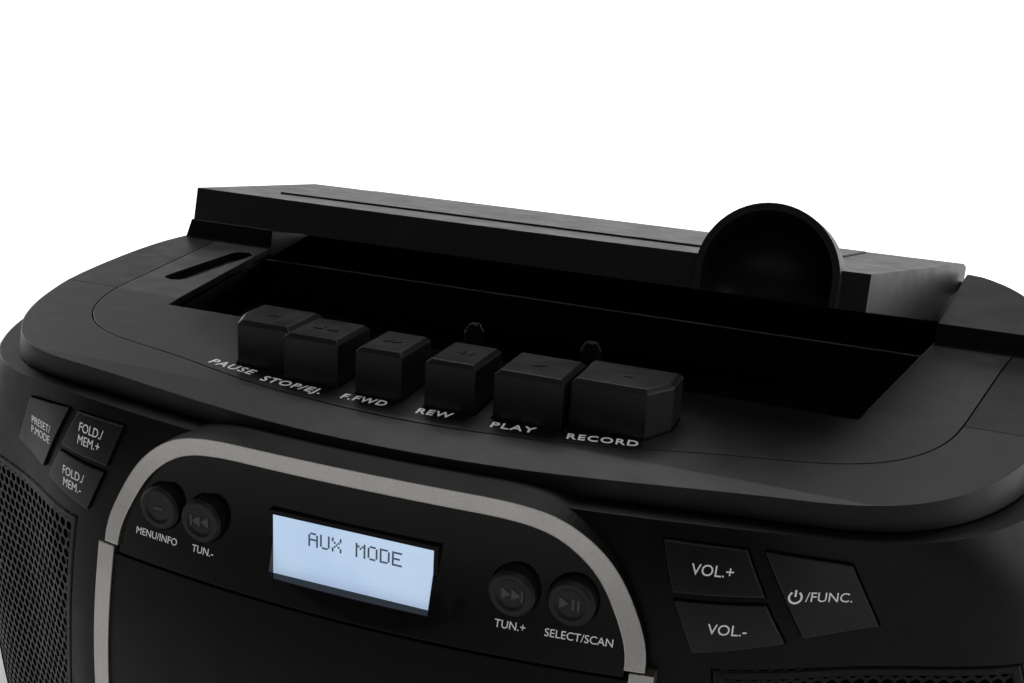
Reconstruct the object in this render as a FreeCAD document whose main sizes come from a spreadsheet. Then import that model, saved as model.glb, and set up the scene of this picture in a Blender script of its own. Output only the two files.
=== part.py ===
import FreeCAD, Part
import Sketcher
import math
import os
from FreeCAD import Placement, Rotation, Vector

# A portable stereo: a cassette deck with its lid and six piano keys on top, a compact disc
# player behind a bowed front door, a display panel in a silver arch, and two loudspeakers.
# Millimetres. +Z is up, the front faces -Y, X = 0 is the plane of symmetry of the cabinet.

SIZES = {
    "cabinet_floor": 4.0,
    "cabinet_wall": 2.6,
    "clearance": 0.3,
    "shoulder_height": 181.5,
    "seam_place": -20.0,
    "seam_gap": 0.4,
    "plate_thick": 2.4,
    "key_height": 202.5,
    "key_depth": 19.0,
    "key_gap": 0.5,
    "disc_height": 80.0,
    "display_height": 151.0,
    "display_wide": 45.0,
    "display_tall": 16.5,
    "button_radius": 6.0,
    "button_height": 161.5,
    "button_gap": 0.35,
    "hinge_height": 201.0,
    "hinge_place": 106.0,
    "hinge_radius": 2.5,
    "lid_wall": 2.2,
    "lid_open": 14.0,
    "hood_radius": 20.0,
    "hood_place": 82.0,
    "reel_pitch": 42.5,
    "reel_place": 20.0,
    "chassis_height": 173.0,
    "speaker_radius": 40.0,
    "speaker_height": 84.0,
    "foot_radius": 9.0,
    "handle_place": 92.0,
    "handle_height": 150.0,
    "handle_fold": 62.0,
    "handle_reach": 88.0,
    "handle_bar": 6.5,
    "antenna_radius": 3.0,
    "antenna_length": 210.0,
    "antenna_height": 176.0,
    "shaft_gap": 0.05,
    "centre_shift": -9.2,
}

doc = FreeCAD.newDocument("portable_stereo")
sheet = doc.addObject("Spreadsheet::Sheet", "Sizes")
for row, (alias, value) in enumerate(SIZES.items(), start=1):
    sheet.set("A%d" % row, alias)
    sheet.set("B%d" % row, str(value))
    sheet.setAlias("B%d" % row, alias)
doc.recompute()


def size(alias):
    """The value of one cell of the sheet, as a number."""
    return float(sheet.get(alias))


# ---------------------------------------------------------------- building helpers

AXES = {
    "x": Rotation(Vector(0, 1, 0), 90),
    "y": Rotation(Vector(1, 0, 0), -90),
    "z": Rotation(),
}


def bind(item, props):
    """Set properties; a string is an expression that reads the sheet."""
    for name, value in props.items():
        if isinstance(value, str):
            item.setExpression(name, value)
        else:
            setattr(item, name, value)
    return item


def block(name, long, wide, tall, at):
    """A box with its lowest corner at a point."""
    item = bind(doc.addObject("Part::Box", name), {"Length": long, "Width": wide, "Height": tall})
    item.Placement = Placement(Vector(*at), Rotation())
    return item


def span(name, low, high):
    """A box between two corners."""
    return block(name, high[0] - low[0], high[1] - low[1], high[2] - low[2], low)


def rod(name, radius, length, at, axis="z"):
    """A round bar that starts at a point and runs along an axis."""
    item = bind(doc.addObject("Part::Cylinder", name), {"Radius": radius, "Height": length})
    item.Placement = Placement(Vector(*at), AXES[axis])
    return item


def joined(name, items):
    """The union of several objects."""
    item = doc.addObject("Part::MultiFuse", name)
    item.Shapes = items
    item.Refine = False
    return item


def grouped(name, items):
    """Several separate objects as one compound."""
    item = doc.addObject("Part::Compound", name)
    item.Links = items
    return item


def minus(name, base, tools):
    """One object with others, which stand clear of each other, cut from it."""
    item = doc.addObject("Part::Cut", name)
    item.Base = base
    item.Refine = False
    item.Tool = tools[0] if len(tools) == 1 else grouped(name + "_tools", tools)
    return item


def common(name, first, second):
    """What two objects share."""
    item = doc.addObject("Part::Common", name)
    item.Base = first
    item.Refine = False
    item.Tool = second
    return item


def solid(name, shape):
    """An object whose shape is worked out in code."""
    item = doc.addObject("Part::Feature", name)
    item.Shape = shape
    return item


def moved(item, offset, turn=None):
    """Place an object, and hand it back."""
    item.Placement = Placement(Vector(*offset), turn or Rotation())
    return item


def polygon(points, plane="xy", level=0.0):
    """A closed flat face through points of a plane."""
    place = {
        "xy": lambda a, b: Vector(a, b, level),
        "xz": lambda a, b: Vector(a, level, b),
        "yz": lambda a, b: Vector(level, a, b),
    }[plane]
    corners = [place(a, b) for a, b in points]
    return Part.Face(Part.makePolygon(corners + corners[:1]))


def prism(points, plane, start, end):
    """A straight prism over a polygon, from one level to another."""
    push = {"xy": Vector(0, 0, 1), "xz": Vector(0, 1, 0), "yz": Vector(1, 0, 0)}[plane]
    return polygon(points, plane, start).extrude(push * (end - start))


def mirrored(points):
    """The same outline on the other side of X = 0."""
    return [(-a, b) for a, b in reversed(points)]


def grown(points, margin):
    """An outline pushed outward by a margin."""
    face = polygon(points)
    wire = face.OuterWire.makeOffset2D(margin, 2, False, False, False)
    return [(v.Point.x, v.Point.y) for v in wire.OrderedVertexes]


def sketch_loop(sketch, points):
    """Close a loop of straight lines in a sketch, joined end to end."""
    count = len(points)
    corners = [Vector(a, b, 0) for a, b in points]
    for i in range(count):
        sketch.addGeometry(Part.LineSegment(corners[i], corners[(i + 1) % count]), False)
    for i in range(count):
        sketch.addConstraint(Sketcher.Constraint("Coincident", i, 2, (i + 1) % count, 1))


def origin_plane(body, role):
    """One of a body's own origin planes."""
    return [item for item in body.Origin.OriginFeatures if item.Role == role][0]


def padded(name, points, height, at, chamfer=0.0, turn=None):
    """A body padded up from an outline, with its top edges chamfered."""
    body = doc.addObject("PartDesign::Body", name)
    sketch = body.newObject("Sketcher::SketchObject", name + "_outline")
    sketch.AttachmentSupport = [(origin_plane(body, "XY_Plane"), "")]
    sketch.MapMode = "FlatFace"
    sketch_loop(sketch, points)
    pad = body.newObject("PartDesign::Pad", name + "_pad")
    pad.Profile = sketch
    bind(pad, {"Length": height})
    body.recompute(True)
    if chamfer:
        top = pad.Shape.BoundBox.ZMax
        edges = []
        for number, edge in enumerate(pad.Shape.Edges, start=1):
            if edge.BoundBox.ZMin > top - 0.01:
                edges.append("Edge%d" % number)
        bevel = body.newObject("PartDesign::Chamfer", name + "_bevel")
        bevel.Base = (pad, edges)
        bevel.Size = chamfer
        body.Tip = bevel
    return moved(body, at, turn)


def turned(name, profile, at, turn=None):
    """A body turned about its own Z axis from a profile of radius and height."""
    body = doc.addObject("PartDesign::Body", name)
    sketch = body.newObject("Sketcher::SketchObject", name + "_profile")
    sketch.AttachmentSupport = [(origin_plane(body, "XZ_Plane"), "")]
    sketch.MapMode = "FlatFace"
    sketch_loop(sketch, profile)
    spin = body.newObject("PartDesign::Revolution", name + "_turning")
    spin.Profile = sketch
    spin.ReferenceAxis = (sketch, ["V_Axis"])
    spin.Angle = 360.0
    return moved(body, at, turn)


NODES = {}


def node(label, item):
    """Give a finished sub-part its label and list it for export."""
    item.Label = label
    NODES[label] = item
    return item


# ---------------------------------------------------------------- cabinet surfaces

# Plan of the cabinet at several heights: the right half, from front centre to rear centre.
LOWER_PLANS = [
    (size("cabinet_floor"), [(0, -96), (45, -95.5), (84, -90), (114, -77), (146, -57), (165, -22),
                             (172, 22), (169, 66), (156, 97), (130, 111), (70, 114), (0, 114)]),
    (50.0, [(0, -104), (45, -103.5), (89, -99.5), (123, -83), (161, -61), (180, -24),
            (185, 22), (180, 66), (165, 101.5), (135, 117), (70, 119.5), (0, 119.5)]),
    (105.0, [(0, -105.5), (45, -105), (90.5, -102.5), (125, -85), (166, -62), (184, -23),
             (187, 22), (182, 66), (166, 102), (136, 118), (70, 120.5), (0, 120.5)]),
    (153.0, [(0, -104.5), (45, -104.2), (90, -101.5), (124, -85), (163, -64), (180.5, -25),
             (185, 22), (180, 66), (164, 101.5), (135, 117), (70, 120), (0, 120)]),
    (size("shoulder_height"), [(0, -103.2), (43, -101.3), (82, -95), (110, -89), (138, -77),
                               (162, -41), (177, 20), (175, 64), (161, 98), (133, 114),
                               (70, 118.5), (0, 118.5)]),
]
UPPER_PLANS = [
    (170.0, [(0, -98.4), (40, -96), (74, -90.5), (102, -86), (128, -79), (154, -48),
             (171, 20), (172, 62), (159, 96), (130, 111), (70, 115), (0, 115)]),
    (212.0, [(0, -95), (39, -93), (72, -88), (99, -83), (123, -77), (148, -46),
             (164, 20), (165, 62), (153, 94), (127, 108), (68, 112), (0, 112)]),
]
# Side view of the top: front lip, deck, the step up to the rear flanks and their slope.
TOP_LINE = [(-130, 185.0), (-98, 186.2), (-80, 188.4), (-20, 191), (62, 191), (64, 197.5),
            (104, 206.5), (112, 206.5), (130, 192)]


def whole_loop(half):
    """A half plan and its mirror image, as one closed loop of points."""
    right = list(half)
    left = [(-a, b) for a, b in reversed(right[1:-1])]
    return right + left


def loop_knots(half):
    """How far along the loop each point lies, so that every ring of a loft runs in step."""
    loop = whole_loop(half)
    rear = len(half) - 1
    loop = loop[rear:] + loop[:rear]
    knots = [0.0]
    for i in range(len(loop)):
        a, b = loop[i]
        c, d = loop[(i + 1) % len(loop)]
        knots.append(knots[-1] + math.sqrt(math.hypot(c - a, d - b)))
    return knots


def ring(height, half, inset, knots):
    """A closed smooth curve through a plan and its mirror image, pushed inward by an inset."""
    loop = whole_loop(half)
    count = len(loop)
    points = []
    for i, (a, b) in enumerate(loop):
        before = loop[i - 1]
        after = loop[(i + 1) % count]
        along = Vector(after[0] - before[0], after[1] - before[1], 0)
        along.normalize()
        points.append(Vector(a - along.y * inset, b + along.x * inset, height))
    rear = len(half) - 1
    points = points[rear:] + points[:rear]
    curve = Part.BSplineCurve()
    curve.interpolate(Points=points, PeriodicFlag=True, Parameters=knots)
    return Part.Wire([curve.toShape()])


def cabinet_solid(plans, inset, rise=0.0, drop=0.0):
    """A smooth solid through the plans, inset all round, with its ends moved in."""
    rings = []
    last = len(plans) - 1
    knots = loop_knots(plans[last // 2][1])
    for i, (height, half) in enumerate(plans):
        level = height
        if i == 0:
            level = height + rise
        if i == last:
            level = height - drop
        rings.append(ring(level, half, inset, knots))
    return Part.makeLoft(rings, True, False)


def under_top_line(drop):
    """The space below the top line, lowered by a drop."""
    line = [(a, b - drop) for a, b in TOP_LINE]
    return prism([(-130, 150)] + line + [(130, 150)], "yz", -200, 200)


WALL = size("cabinet_wall")
CLEARANCE = size("clearance")
SHOULDER = size("shoulder_height")
lower_outside = cabinet_solid(LOWER_PLANS, 0.0)
lower_inside = cabinet_solid(LOWER_PLANS, WALL, rise=WALL, drop=WALL)
lower_room = cabinet_solid(LOWER_PLANS, WALL + CLEARANCE, rise=WALL, drop=WALL)
upper_outside = cabinet_solid(UPPER_PLANS, 0.0).common(under_top_line(0.0))
upper_inside = cabinet_solid(UPPER_PLANS, WALL).common(under_top_line(WALL))

# The lid recess between the rear flanks: half-widths at its front and rear.
RECESS_FRONT = -24.0
RECESS_HALF_FRONT = 113.0
RECESS_HALF_REAR = 137.0
RECESS_REAR = 112.0


def trapezoid(front, rear, margin=0.0):
    """Plan of the recess, which widens to the rear, grown sideways by a margin."""
    slope = (RECESS_HALF_REAR - RECESS_HALF_FRONT) / (RECESS_REAR - RECESS_FRONT)
    near = RECESS_HALF_FRONT + slope * (front - RECESS_FRONT) + margin
    far = RECESS_HALF_FRONT + slope * (rear - RECESS_FRONT) + margin
    return [(-near, front), (near, front), (far, rear), (-far, rear)]


LEDGE_HEIGHT = 187.0
LEDGE_FRONT = 62.0
rear_cut = prism(trapezoid(LEDGE_FRONT - 5.0, 125.0), "xy", LEDGE_HEIGHT, 230)
rear_keep = prism(trapezoid(LEDGE_FRONT, 128.0, WALL), "xy", LEDGE_HEIGHT - WALL, 230)
outside = lower_outside.fuse(upper_outside).cut(rear_cut)
inside = lower_inside.fuse(upper_inside).cut(rear_keep)
shell = outside.cut(inside)

SEAM = size("seam_place")
SEAM_GAP = size("seam_gap")
SEAM_BACK = SEAM + SEAM_GAP
TOP_LOW = SHOULDER + SEAM_GAP
front_half = solid("front_half", shell.common(Part.makeBox(400, 130, SHOULDER, Vector(-200, SEAM - 130, 0))))
top_half = solid("top_half", shell.common(Part.makeBox(400, 130, 50, Vector(-200, SEAM - 130, TOP_LOW))))
rear_half = solid("rear_half", shell.common(Part.makeBox(400, 170, 230, Vector(-200, SEAM_BACK, 0))))

# ---------------------------------------------------------------- deck plate and its openings

DECK_FRONT = [(0, -82), (30, -80), (56, -75), (84, -67), (120, -55)]
DECK_SIDE = [(129, -46), (137, -30), (141, -11.5), (147.5, 27.5), (153.5, 60)]
DECK_HALF = DECK_FRONT + DECK_SIDE
DECK_OUTLINE = [(-a, b) for a, b in reversed(DECK_HALF[1:])] + DECK_HALF
KEYS = {
    "pause_key": (-64.0, -44.0, -65.5),
    "stop_key": (-43.2, -26.0, -69.5),
    "fast_forward_key": (-19.6, -5.6, -71.0),
    "rewind_key": (1.4, 16.0, -71.0),
    "play_key": (21.2, 40.6, -70.5),
    "record_key": (41.4, 63.0, -67.0),
}
KEY_DEPTH = size("key_depth")
KEY_CORNER = 7.0
OVAL_CENTRE = Vector(-131.0, 24.0, 0)
OVAL_LONG = 50.0
OVAL_WIDE = 9.0


def key_outline(name, margin=0.0):
    """Plan of a tape key; the outer front corner of the end keys is cut off."""
    left, right, front = KEYS[name]
    left -= margin
    right += margin
    front -= margin
    back = front + KEY_DEPTH + 2 * margin
    if name == "pause_key":
        return [(left + 3.0, front), (right, front), (right, back), (left, back),
                (left, front + KEY_CORNER)]
    if name == "record_key":
        return [(left, front), (right - 1.0, front), (right + 4.0, front + 9.0),
                (right + 4.0, back), (left, back)]
    return [(left, front), (right, front), (right, back), (left, back)]


def deck_column(margin, low, high):
    """An upright block with the smooth outline of the deck, pushed inward by a margin."""
    points = [Vector(a, b, low) for a, b in grown(DECK_OUTLINE, -margin)]
    front = Part.BSplineCurve()
    front.interpolate(points)
    rear = Part.makeLine(points[-1], points[0])
    return Part.Face(Part.Wire([front.toShape(), rear])).extrude(Vector(0, 0, high - low))


def deck_block(bottom_drop, margin):
    """The slab under the deck surface, inside the deck outline."""
    column = deck_column(margin, 150, 230)
    return column.common(under_top_line(0.0)).cut(under_top_line(bottom_drop))


def oval(centre, long, wide, low, high):
    """An upright slot with round ends, its long side along Y."""
    reach = (long - wide) / 2
    middle = Part.makeBox(wide, 2 * reach, high - low, Vector(centre.x - wide / 2, centre.y - reach, low))
    ends = []
    for way in (-1, 1):
        foot = Vector(centre.x, centre.y + way * reach, low)
        ends.append(Part.makeCylinder(wide / 2, high - low, foot))
    return middle.multiFuse(ends)


PLATE = size("plate_thick")
DECK_GROOVE = 0.5
plate_shape = deck_block(PLATE, DECK_GROOVE)
for key_name in KEYS:
    hole = prism(key_outline(key_name, size("key_gap")), "xy", 170, 230)
    plate_shape = plate_shape.cut(hole)
plate_shape = plate_shape.cut(prism(trapezoid(RECESS_FRONT - 4.0, 100.0), "xy", 150, 230))
plate_shape = plate_shape.cut(oval(OVAL_CENTRE, OVAL_LONG, OVAL_WIDE, 170, 230))
ARM_FRONT = OVAL_CENTRE.y - (OVAL_LONG - OVAL_WIDE) / 2
ARM_REAR = OVAL_CENTRE.y + (OVAL_LONG - OVAL_WIDE) / 2
# The plate is five solids that meet face to face, so that the collision model stays open at the sockets.
plate_solids = []
for left, right, near, far in ((-200, 200, -140, ARM_FRONT), (-200, OVAL_CENTRE.x, ARM_FRONT, ARM_REAR),
                               (OVAL_CENTRE.x, 0, ARM_FRONT, ARM_REAR), (-200, 0, ARM_REAR, 140),
                               (0, 200, ARM_FRONT, 140)):
    zone = Part.makeBox(right - left, far - near, 80, Vector(left, near, 150))
    plate_solids += plate_shape.common(zone).Solids
node("deck_plate", solid("deck_plate_shape", Part.Compound(plate_solids)))
deck_opening = solid("deck_opening", deck_column(0.0, 182.5, 230))

# ---------------------------------------------------------------- front panel: arch, lens, door

# The raised front panel: height, then how far forward its middle and its edges come.
PANEL_HALF = 79.0
PANEL_SIDE = 90.0
PANEL_BACK = -85.0
PANEL_LEVELS = [(8.0, -104.0, -101.0), (30.0, -111.0, -105.5), (60.0, -119.5, -110.5),
                (100.0, -122.5, -112.5), (124.0, -120.5, -111.5), (145.0, -115.5, -108.2),
                (187.0, -110.0, -105.0)]
ARCH_POINTS = [(76.8, 148.0), (75.8, 154.8), (73.5, 160.5), (69.8, 167.3), (65.8, 172.6),
               (60.6, 177.2), (54.0, 181.0), (45.0, 183.3), (30.0, 184.0)]
ARCH_BAND = 4.9
ARCH_BOTTOM = 147.4
LENS_BOTTOM = 145.2
DOOR_BOTTOM = 14.0
DOOR_TOP = 144.7
TRIM_INNER = 73.3
TRIM_TOP = 146.8


def panel_solid(inset):
    """The bowed front panel, pushed back by an inset."""
    rings = []
    for height, middle, edge in PANEL_LEVELS:
        side = middle + (edge - middle) * (PANEL_SIDE / PANEL_HALF) ** 2
        left = Vector(-PANEL_SIDE, side + inset, height)
        right = Vector(PANEL_SIDE, side + inset, height)
        bow = Part.Arc(left, Vector(0, middle + inset, height), right).toShape()
        rear_right = Vector(PANEL_SIDE, PANEL_BACK, height)
        rear_left = Vector(-PANEL_SIDE, PANEL_BACK, height)
        edges = [bow, Part.makeLine(right, rear_right), Part.makeLine(rear_right, rear_left),
                 Part.makeLine(rear_left, left)]
        rings.append(Part.Wire(edges))
    return Part.makeLoft(rings, True, False)


def arch_solid(inset, bottom):
    """A prism over the arch outline, pushed inward by an inset, from a bottom line up."""
    line = ARCH_POINTS + [(-a, b) for a, b in reversed(ARCH_POINTS)]
    points = []
    for i, (a, b) in enumerate(line):
        before = line[max(i - 1, 0)]
        after = line[min(i + 1, len(line) - 1)]
        along = Vector(after[0] - before[0], 0, after[1] - before[1])
        along.normalize()
        points.append(Vector(a - along.z * inset, -140, b + along.x * inset))
    curve = Part.BSplineCurve()
    curve.interpolate(points)
    right_foot = Vector(points[0].x, -140, bottom)
    left_foot = Vector(points[-1].x, -140, bottom)
    edges = [curve.toShape(), Part.makeLine(points[-1], left_foot),
             Part.makeLine(left_foot, right_foot), Part.makeLine(right_foot, points[0])]
    return Part.Face(Part.Wire(edges)).extrude(Vector(0, 60, 0))


panel = panel_solid(0.0)
arch_band = arch_solid(0.0, ARCH_BOTTOM).cut(arch_solid(ARCH_BAND, ARCH_BOTTOM - 1.0))
arch_shape = arch_band.common(panel).cut(outside)
node("arch_trim", solid("arch_trim_shape", arch_shape))

LCD_LOW = size("display_height")
LCD_HALF = size("display_wide") / 2
LCD_TOP = LCD_LOW + size("display_tall")
MODULE_FRONT = -109.4
MODULE_BACK = -104.9
MODULE_EDGE = 1.2
LENS_INSET = 1.0
BUTTON_PLACES = {
    "menu_button": (-57.8, -109.6),
    "tune_down_button": (-43.5, -111.4),
    "tune_up_button": (43.5, -111.4),
    "select_button": (57.8, -109.6),
}
BUTTON_Z = size("button_height")
lens_shape = arch_solid(ARCH_BAND + 0.1, LENS_BOTTOM).common(panel_solid(LENS_INSET)).cut(outside)
lens_full = solid("lens_full", lens_shape)
lens_tools = [
    span("lens_window", (-LCD_HALF, -130, LCD_LOW), (LCD_HALF, -100, LCD_TOP)),
    span("lens_pocket", (-LCD_HALF - MODULE_EDGE - 0.2, MODULE_FRONT - 0.1, LCD_LOW - MODULE_EDGE - 0.2),
         (LCD_HALF + MODULE_EDGE + 0.2, -100, LCD_TOP + MODULE_EDGE + 0.2)),
]
for button, (place, face) in BUTTON_PLACES.items():
    lens_tools.append(rod(button + "_lens_hole", "Sizes.button_radius + Sizes.button_gap", 40.0,
                          (place, -130, BUTTON_Z), "y"))
node("display_lens", minus("lens_drilled", lens_full, lens_tools))
node("display_module", span("display_block", (-LCD_HALF - MODULE_EDGE, MODULE_FRONT, LCD_LOW - MODULE_EDGE),
                            (LCD_HALF + MODULE_EDGE, MODULE_BACK, LCD_TOP + MODULE_EDGE)))

BUTTON_BACK = -98.4
for button, (place, face) in BUTTON_PLACES.items():
    long = BUTTON_BACK - face
    radius = size("button_radius")
    profile = [(0, 0), (radius + 1.1, 0), (radius + 1.1, 1.0), (radius, 1.0), (radius, long - 0.8),
               (radius - 0.8, long), (radius - 1.8, long), (radius - 2.6, long - 0.5), (0, long - 0.5)]
    node(button, turned(button + "_body", profile, (place, BUTTON_BACK, BUTTON_Z),
                        Rotation(Vector(1, 0, 0), 90)))

DOOR_INSET = 0.6
DOOR_WALL = 2.4
DOOR_AXIS_Y = -103.4
DOOR_AXIS_Z = 10.6
door_skin = panel_solid(DOOR_INSET).cut(panel_solid(DOOR_INSET + DOOR_WALL)).cut(outside)
door_room = span("door_room", (-TRIM_INNER, -130, DOOR_BOTTOM), (TRIM_INNER, -90, DOOR_TOP))
door_plate = common("door_plate", solid("door_skin", door_skin), door_room)
DOOR_LUG_PLACES = (-44.0, 38.0)
door_lugs = [door_plate]
for i, place in enumerate(DOOR_LUG_PLACES):
    door_lugs.append(span("door_lug_%d" % i, (place, -106.2, 8.2), (place + 6.0, -101.2, 16.0)))
door_lugs.append(rod("door_pin", 1.5, 130.0, (-65, DOOR_AXIS_Y, DOOR_AXIS_Z), "x"))
node("cd_door", joined("cd_door_all", door_lugs))
trims = []
for low in (-PANEL_HALF, TRIM_INNER):
    strip = Part.makeBox(PANEL_HALF - TRIM_INNER, 60, TRIM_TOP - DOOR_BOTTOM, Vector(low, -140, DOOR_BOTTOM))
    trims.append(panel.common(strip).cut(outside))
node("door_trims", solid("door_trims_shape", Part.makeCompound(trims)))

# ---------------------------------------------------------------- control keys on the shoulder

CLUSTER = {
    "volume_up": [(76.4, 177.8), (95.2, 177.4), (100.6, 167.0), (80.2, 166.6)],
    "volume_down": [(80.9, 164.6), (101.2, 165.0), (106.4, 156.0), (86.4, 152.8)],
    "function": [(99.4, 177.3), (118.6, 175.4), (126.4, 160.2), (110.4, 157.2)],
}
LEFT_NAMES = {"volume_up": "folder_up", "volume_down": "folder_down", "function": "preset"}
CLUSTER_GAP = 0.35
key_skin = cabinet_solid(LOWER_PLANS, -0.9).cut(cabinet_solid(LOWER_PLANS, 3.4))
cluster_holes = []
for name, outline in CLUSTER.items():
    for side_name, points in ((name, outline), (LEFT_NAMES[name], mirrored(outline))):
        if polygon(points, "xz").normalAt(0, 0).y > 0:
            points = list(reversed(points))
        key_shape = prism(points, "xz", -120, -60).common(key_skin)
        node(side_name + "_key", solid(side_name + "_key_shape", key_shape))
        hole_shape = prism(grown(points, CLUSTER_GAP), "xz", -125, -55)
        cluster_holes.append(solid(side_name + "_key_hole", hole_shape))

# ---------------------------------------------------------------- speaker grilles and speakers

GRILLE = [(91.0, 149.0), (160.0, 149.5), (165.5, 132.0), (166.5, 90.0), (161.0, 48.0),
          (147.0, 25.0), (110.0, 23.0), (101.0, 48.0), (100.0, 88.0), (95.5, 120.0)]
GRILLE_THICK = 1.2
GRILLE_SINK = 0.3
GRILLE_FRAME = 3.0
behind_grille = cabinet_solid(LOWER_PLANS, GRILLE_SINK + GRILLE_THICK)
grille_layer = cabinet_solid(LOWER_PLANS, GRILLE_SINK).cut(behind_grille)
grille_seat = cabinet_solid(LOWER_PLANS, -1.0).cut(behind_grille)
grille_seats = []
grille_windows = []
for side, outline in (("left", mirrored(GRILLE)), ("right", GRILLE)):
    plate = prism(grown(outline, -0.4), "xz", -130, -25).common(grille_layer)
    node("grille_" + side, solid("grille_%s_shape" % side, plate))
    seat = prism(outline, "xz", -130, -25).common(grille_seat)
    window = prism(grown(outline, -GRILLE_FRAME), "xz", -130, -25)
    grille_seats.append(solid("grille_seat_" + side, seat))
    grille_windows.append(solid("grille_window_" + side, window))

SPEAKER_FACE = Vector(123.8, -69.9, 0)
SPEAKER_OUT = Vector(0.6, -0.8, 0)
SPEAKER_DEEP = 36.0
rim = size("speaker_radius")
BASKET = [(0, 0), (27, 0), (27, 12), (29, 12), (rim - 1, 33), (rim, 33), (rim, SPEAKER_DEEP),
          (rim - 4.5, SPEAKER_DEEP), (rim - 4.5, 32.5), (25, 14), (0, 14)]
CONE = [(0, 18), (10, 17), (rim - 6, 33), (rim - 4.8, 33), (rim - 4.8, 34.4), (rim - 6.6, 34.4),
        (10, 19.5), (6, 22.5), (0, 24)]
frames = []
cones = []
for side, way in (("left", -1), ("right", 1)):
    out = Vector(way * SPEAKER_OUT.x, SPEAKER_OUT.y, 0)
    back = Vector(way * SPEAKER_FACE.x, SPEAKER_FACE.y, size("speaker_height")) - out * SPEAKER_DEEP
    tilt = Rotation(Vector(0, 0, 1), out)
    frames.append(turned("speaker_frame_" + side, BASKET, back, tilt))
    cones.append(turned("speaker_cone_" + side, CONE, back, tilt))
node("speaker_frames", grouped("speaker_frames_pair", frames))
node("speaker_cones", grouped("speaker_cones_pair", cones))

# ---------------------------------------------------------------- battery bay, inlet, rear parts

BAY_HALF = 72.0
BAY_LOW = 20.0
BAY_HIGH = 60.0
BAY_FRONT = 62.0
BAY_REAR = 115.5
BAY_WALL = 2.0
bay_outer = span("bay_outer", (-BAY_HALF - BAY_WALL, BAY_FRONT - BAY_WALL, BAY_LOW - BAY_WALL),
                 (BAY_HALF + BAY_WALL, BAY_REAR, BAY_HIGH + BAY_WALL))
bay_inner = span("bay_inner", (-BAY_HALF, BAY_FRONT, BAY_LOW), (BAY_HALF, 130, BAY_HIGH))
bay_limit = solid("bay_limit", lower_room)
bay_cut = minus("battery_bay_cut", bay_outer, [bay_inner])
node("battery_bay", common("battery_bay_trimmed", bay_cut, bay_limit))
CONTACTS = []
for i, place in enumerate((-58.0, -29.0, 0.0, 29.0, 58.0)):
    for way, face in ((-1, BAY_LOW), (1, BAY_HIGH - 0.6)):
        CONTACTS.append(block("contact_%d_%d" % (i, way + 1), 14.0, 20.0, 0.6, (place - 7, 72, face)))
node("battery_contacts", joined("battery_contacts_all", CONTACTS))
door_box = Part.makeBox(2 * BAY_HALF + 4, 30, BAY_HIGH - BAY_LOW, Vector(-BAY_HALF - 2, 100, BAY_LOW))
battery_shape = lower_outside.common(door_box).cut(cabinet_solid(LOWER_PLANS, 2.4))
node("battery_door", solid("battery_door_shape", battery_shape))
battery_hole = span("battery_hole", (-BAY_HALF - 2.4, 100, BAY_LOW - 1.5),
                    (BAY_HALF + 2.4, 130, BAY_HIGH + 0.4))

INLET_X = -116.0
INLET_Z = 34.0
inlet_body = span("inlet_body", (INLET_X - 12, 100, INLET_Z - 8), (INLET_X + 12, 117.6, INLET_Z + 8))
inlet_mouth = span("inlet_mouth", (INLET_X - 10, 106, INLET_Z - 6), (INLET_X + 10, 125, INLET_Z + 6))
inlet_pins = [rod("inlet_pin_%d" % i, 1.1, 9.0, (INLET_X + way * 4.3, 106, INLET_Z), "y")
              for i, way in enumerate((-1, 1))]
inlet_hollow = minus("inlet_hollow", inlet_body, [inlet_mouth])
node("ac_inlet", common("inlet_trimmed", joined("inlet_all", [inlet_hollow] + inlet_pins),
                        solid("inlet_limit", lower_outside)))
inlet_hole = span("inlet_hole", (INLET_X - 12, 100, INLET_Z - 8), (INLET_X + 12, 130, INLET_Z + 8))

SCREWS = [(-120, 70), (120, 70), (-84, 100), (84, 100), (-120, 150), (120, 150)]
screw_list = []
screw_holes = []
for i, (place, height) in enumerate(SCREWS):
    for group, tag in ((screw_list, "screw"), (screw_holes, "screw_hole")):
        group.append(rod("%s_%d" % (tag, i), 3.2, 20.0, (place, 106.0, height), "y"))
screw_limit = solid("screw_limit", cabinet_solid(LOWER_PLANS, 0.6))
node("rear_screws", common("rear_screws_trimmed", joined("rear_screws_all", screw_list), screw_limit))

FEET = [(-112, -62), (112, -62), (-112, 82), (112, 82)]
feet = [rod("foot_%d" % i, "Sizes.foot_radius", "Sizes.cabinet_floor", (a, b, 0))
        for i, (a, b) in enumerate(FEET)]
node("feet", joined("feet_all", feet))

# ---------------------------------------------------------------- the three housings

HINGE = Vector(0, size("hinge_place"), size("hinge_height"))
hinge_bore = rod("hinge_bore", "Sizes.hinge_radius + Sizes.shaft_gap", 280.0, (-140, HINGE.y, HINGE.z), "x")
DISC_Z = size("disc_height")
front_tools = [span("disc_opening", (-66, -130, 17), (66, -85, 142))] + cluster_holes + grille_windows
for button, (place, face) in BUTTON_PLACES.items():
    front_tools.append(rod(button + "_hole", "Sizes.button_radius + Sizes.button_gap", 40.0,
                           (place, -130, BUTTON_Z), "y"))
front_seated = minus("front_seated", front_half, grille_seats)
front_shell = minus("front_shell", front_seated, front_tools)
ears = []
for i, place in enumerate((-66.0, 60.0)):
    ear = solid("door_ear_%d" % i, Part.makeBox(6.0, 9.0, 6.0, Vector(place, -106.0, 7.6)).cut(outside))
    ears.append(minus("door_ear_cut_%d" % i, ear, [
        rod("door_ear_bore_%d" % i, 1.5 + size("shaft_gap"), 130.4, (-65.2, DOOR_AXIS_Y, DOOR_AXIS_Z), "x")]))
node("front_cabinet", joined("front_cabinet_all", [front_shell] + ears))

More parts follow.
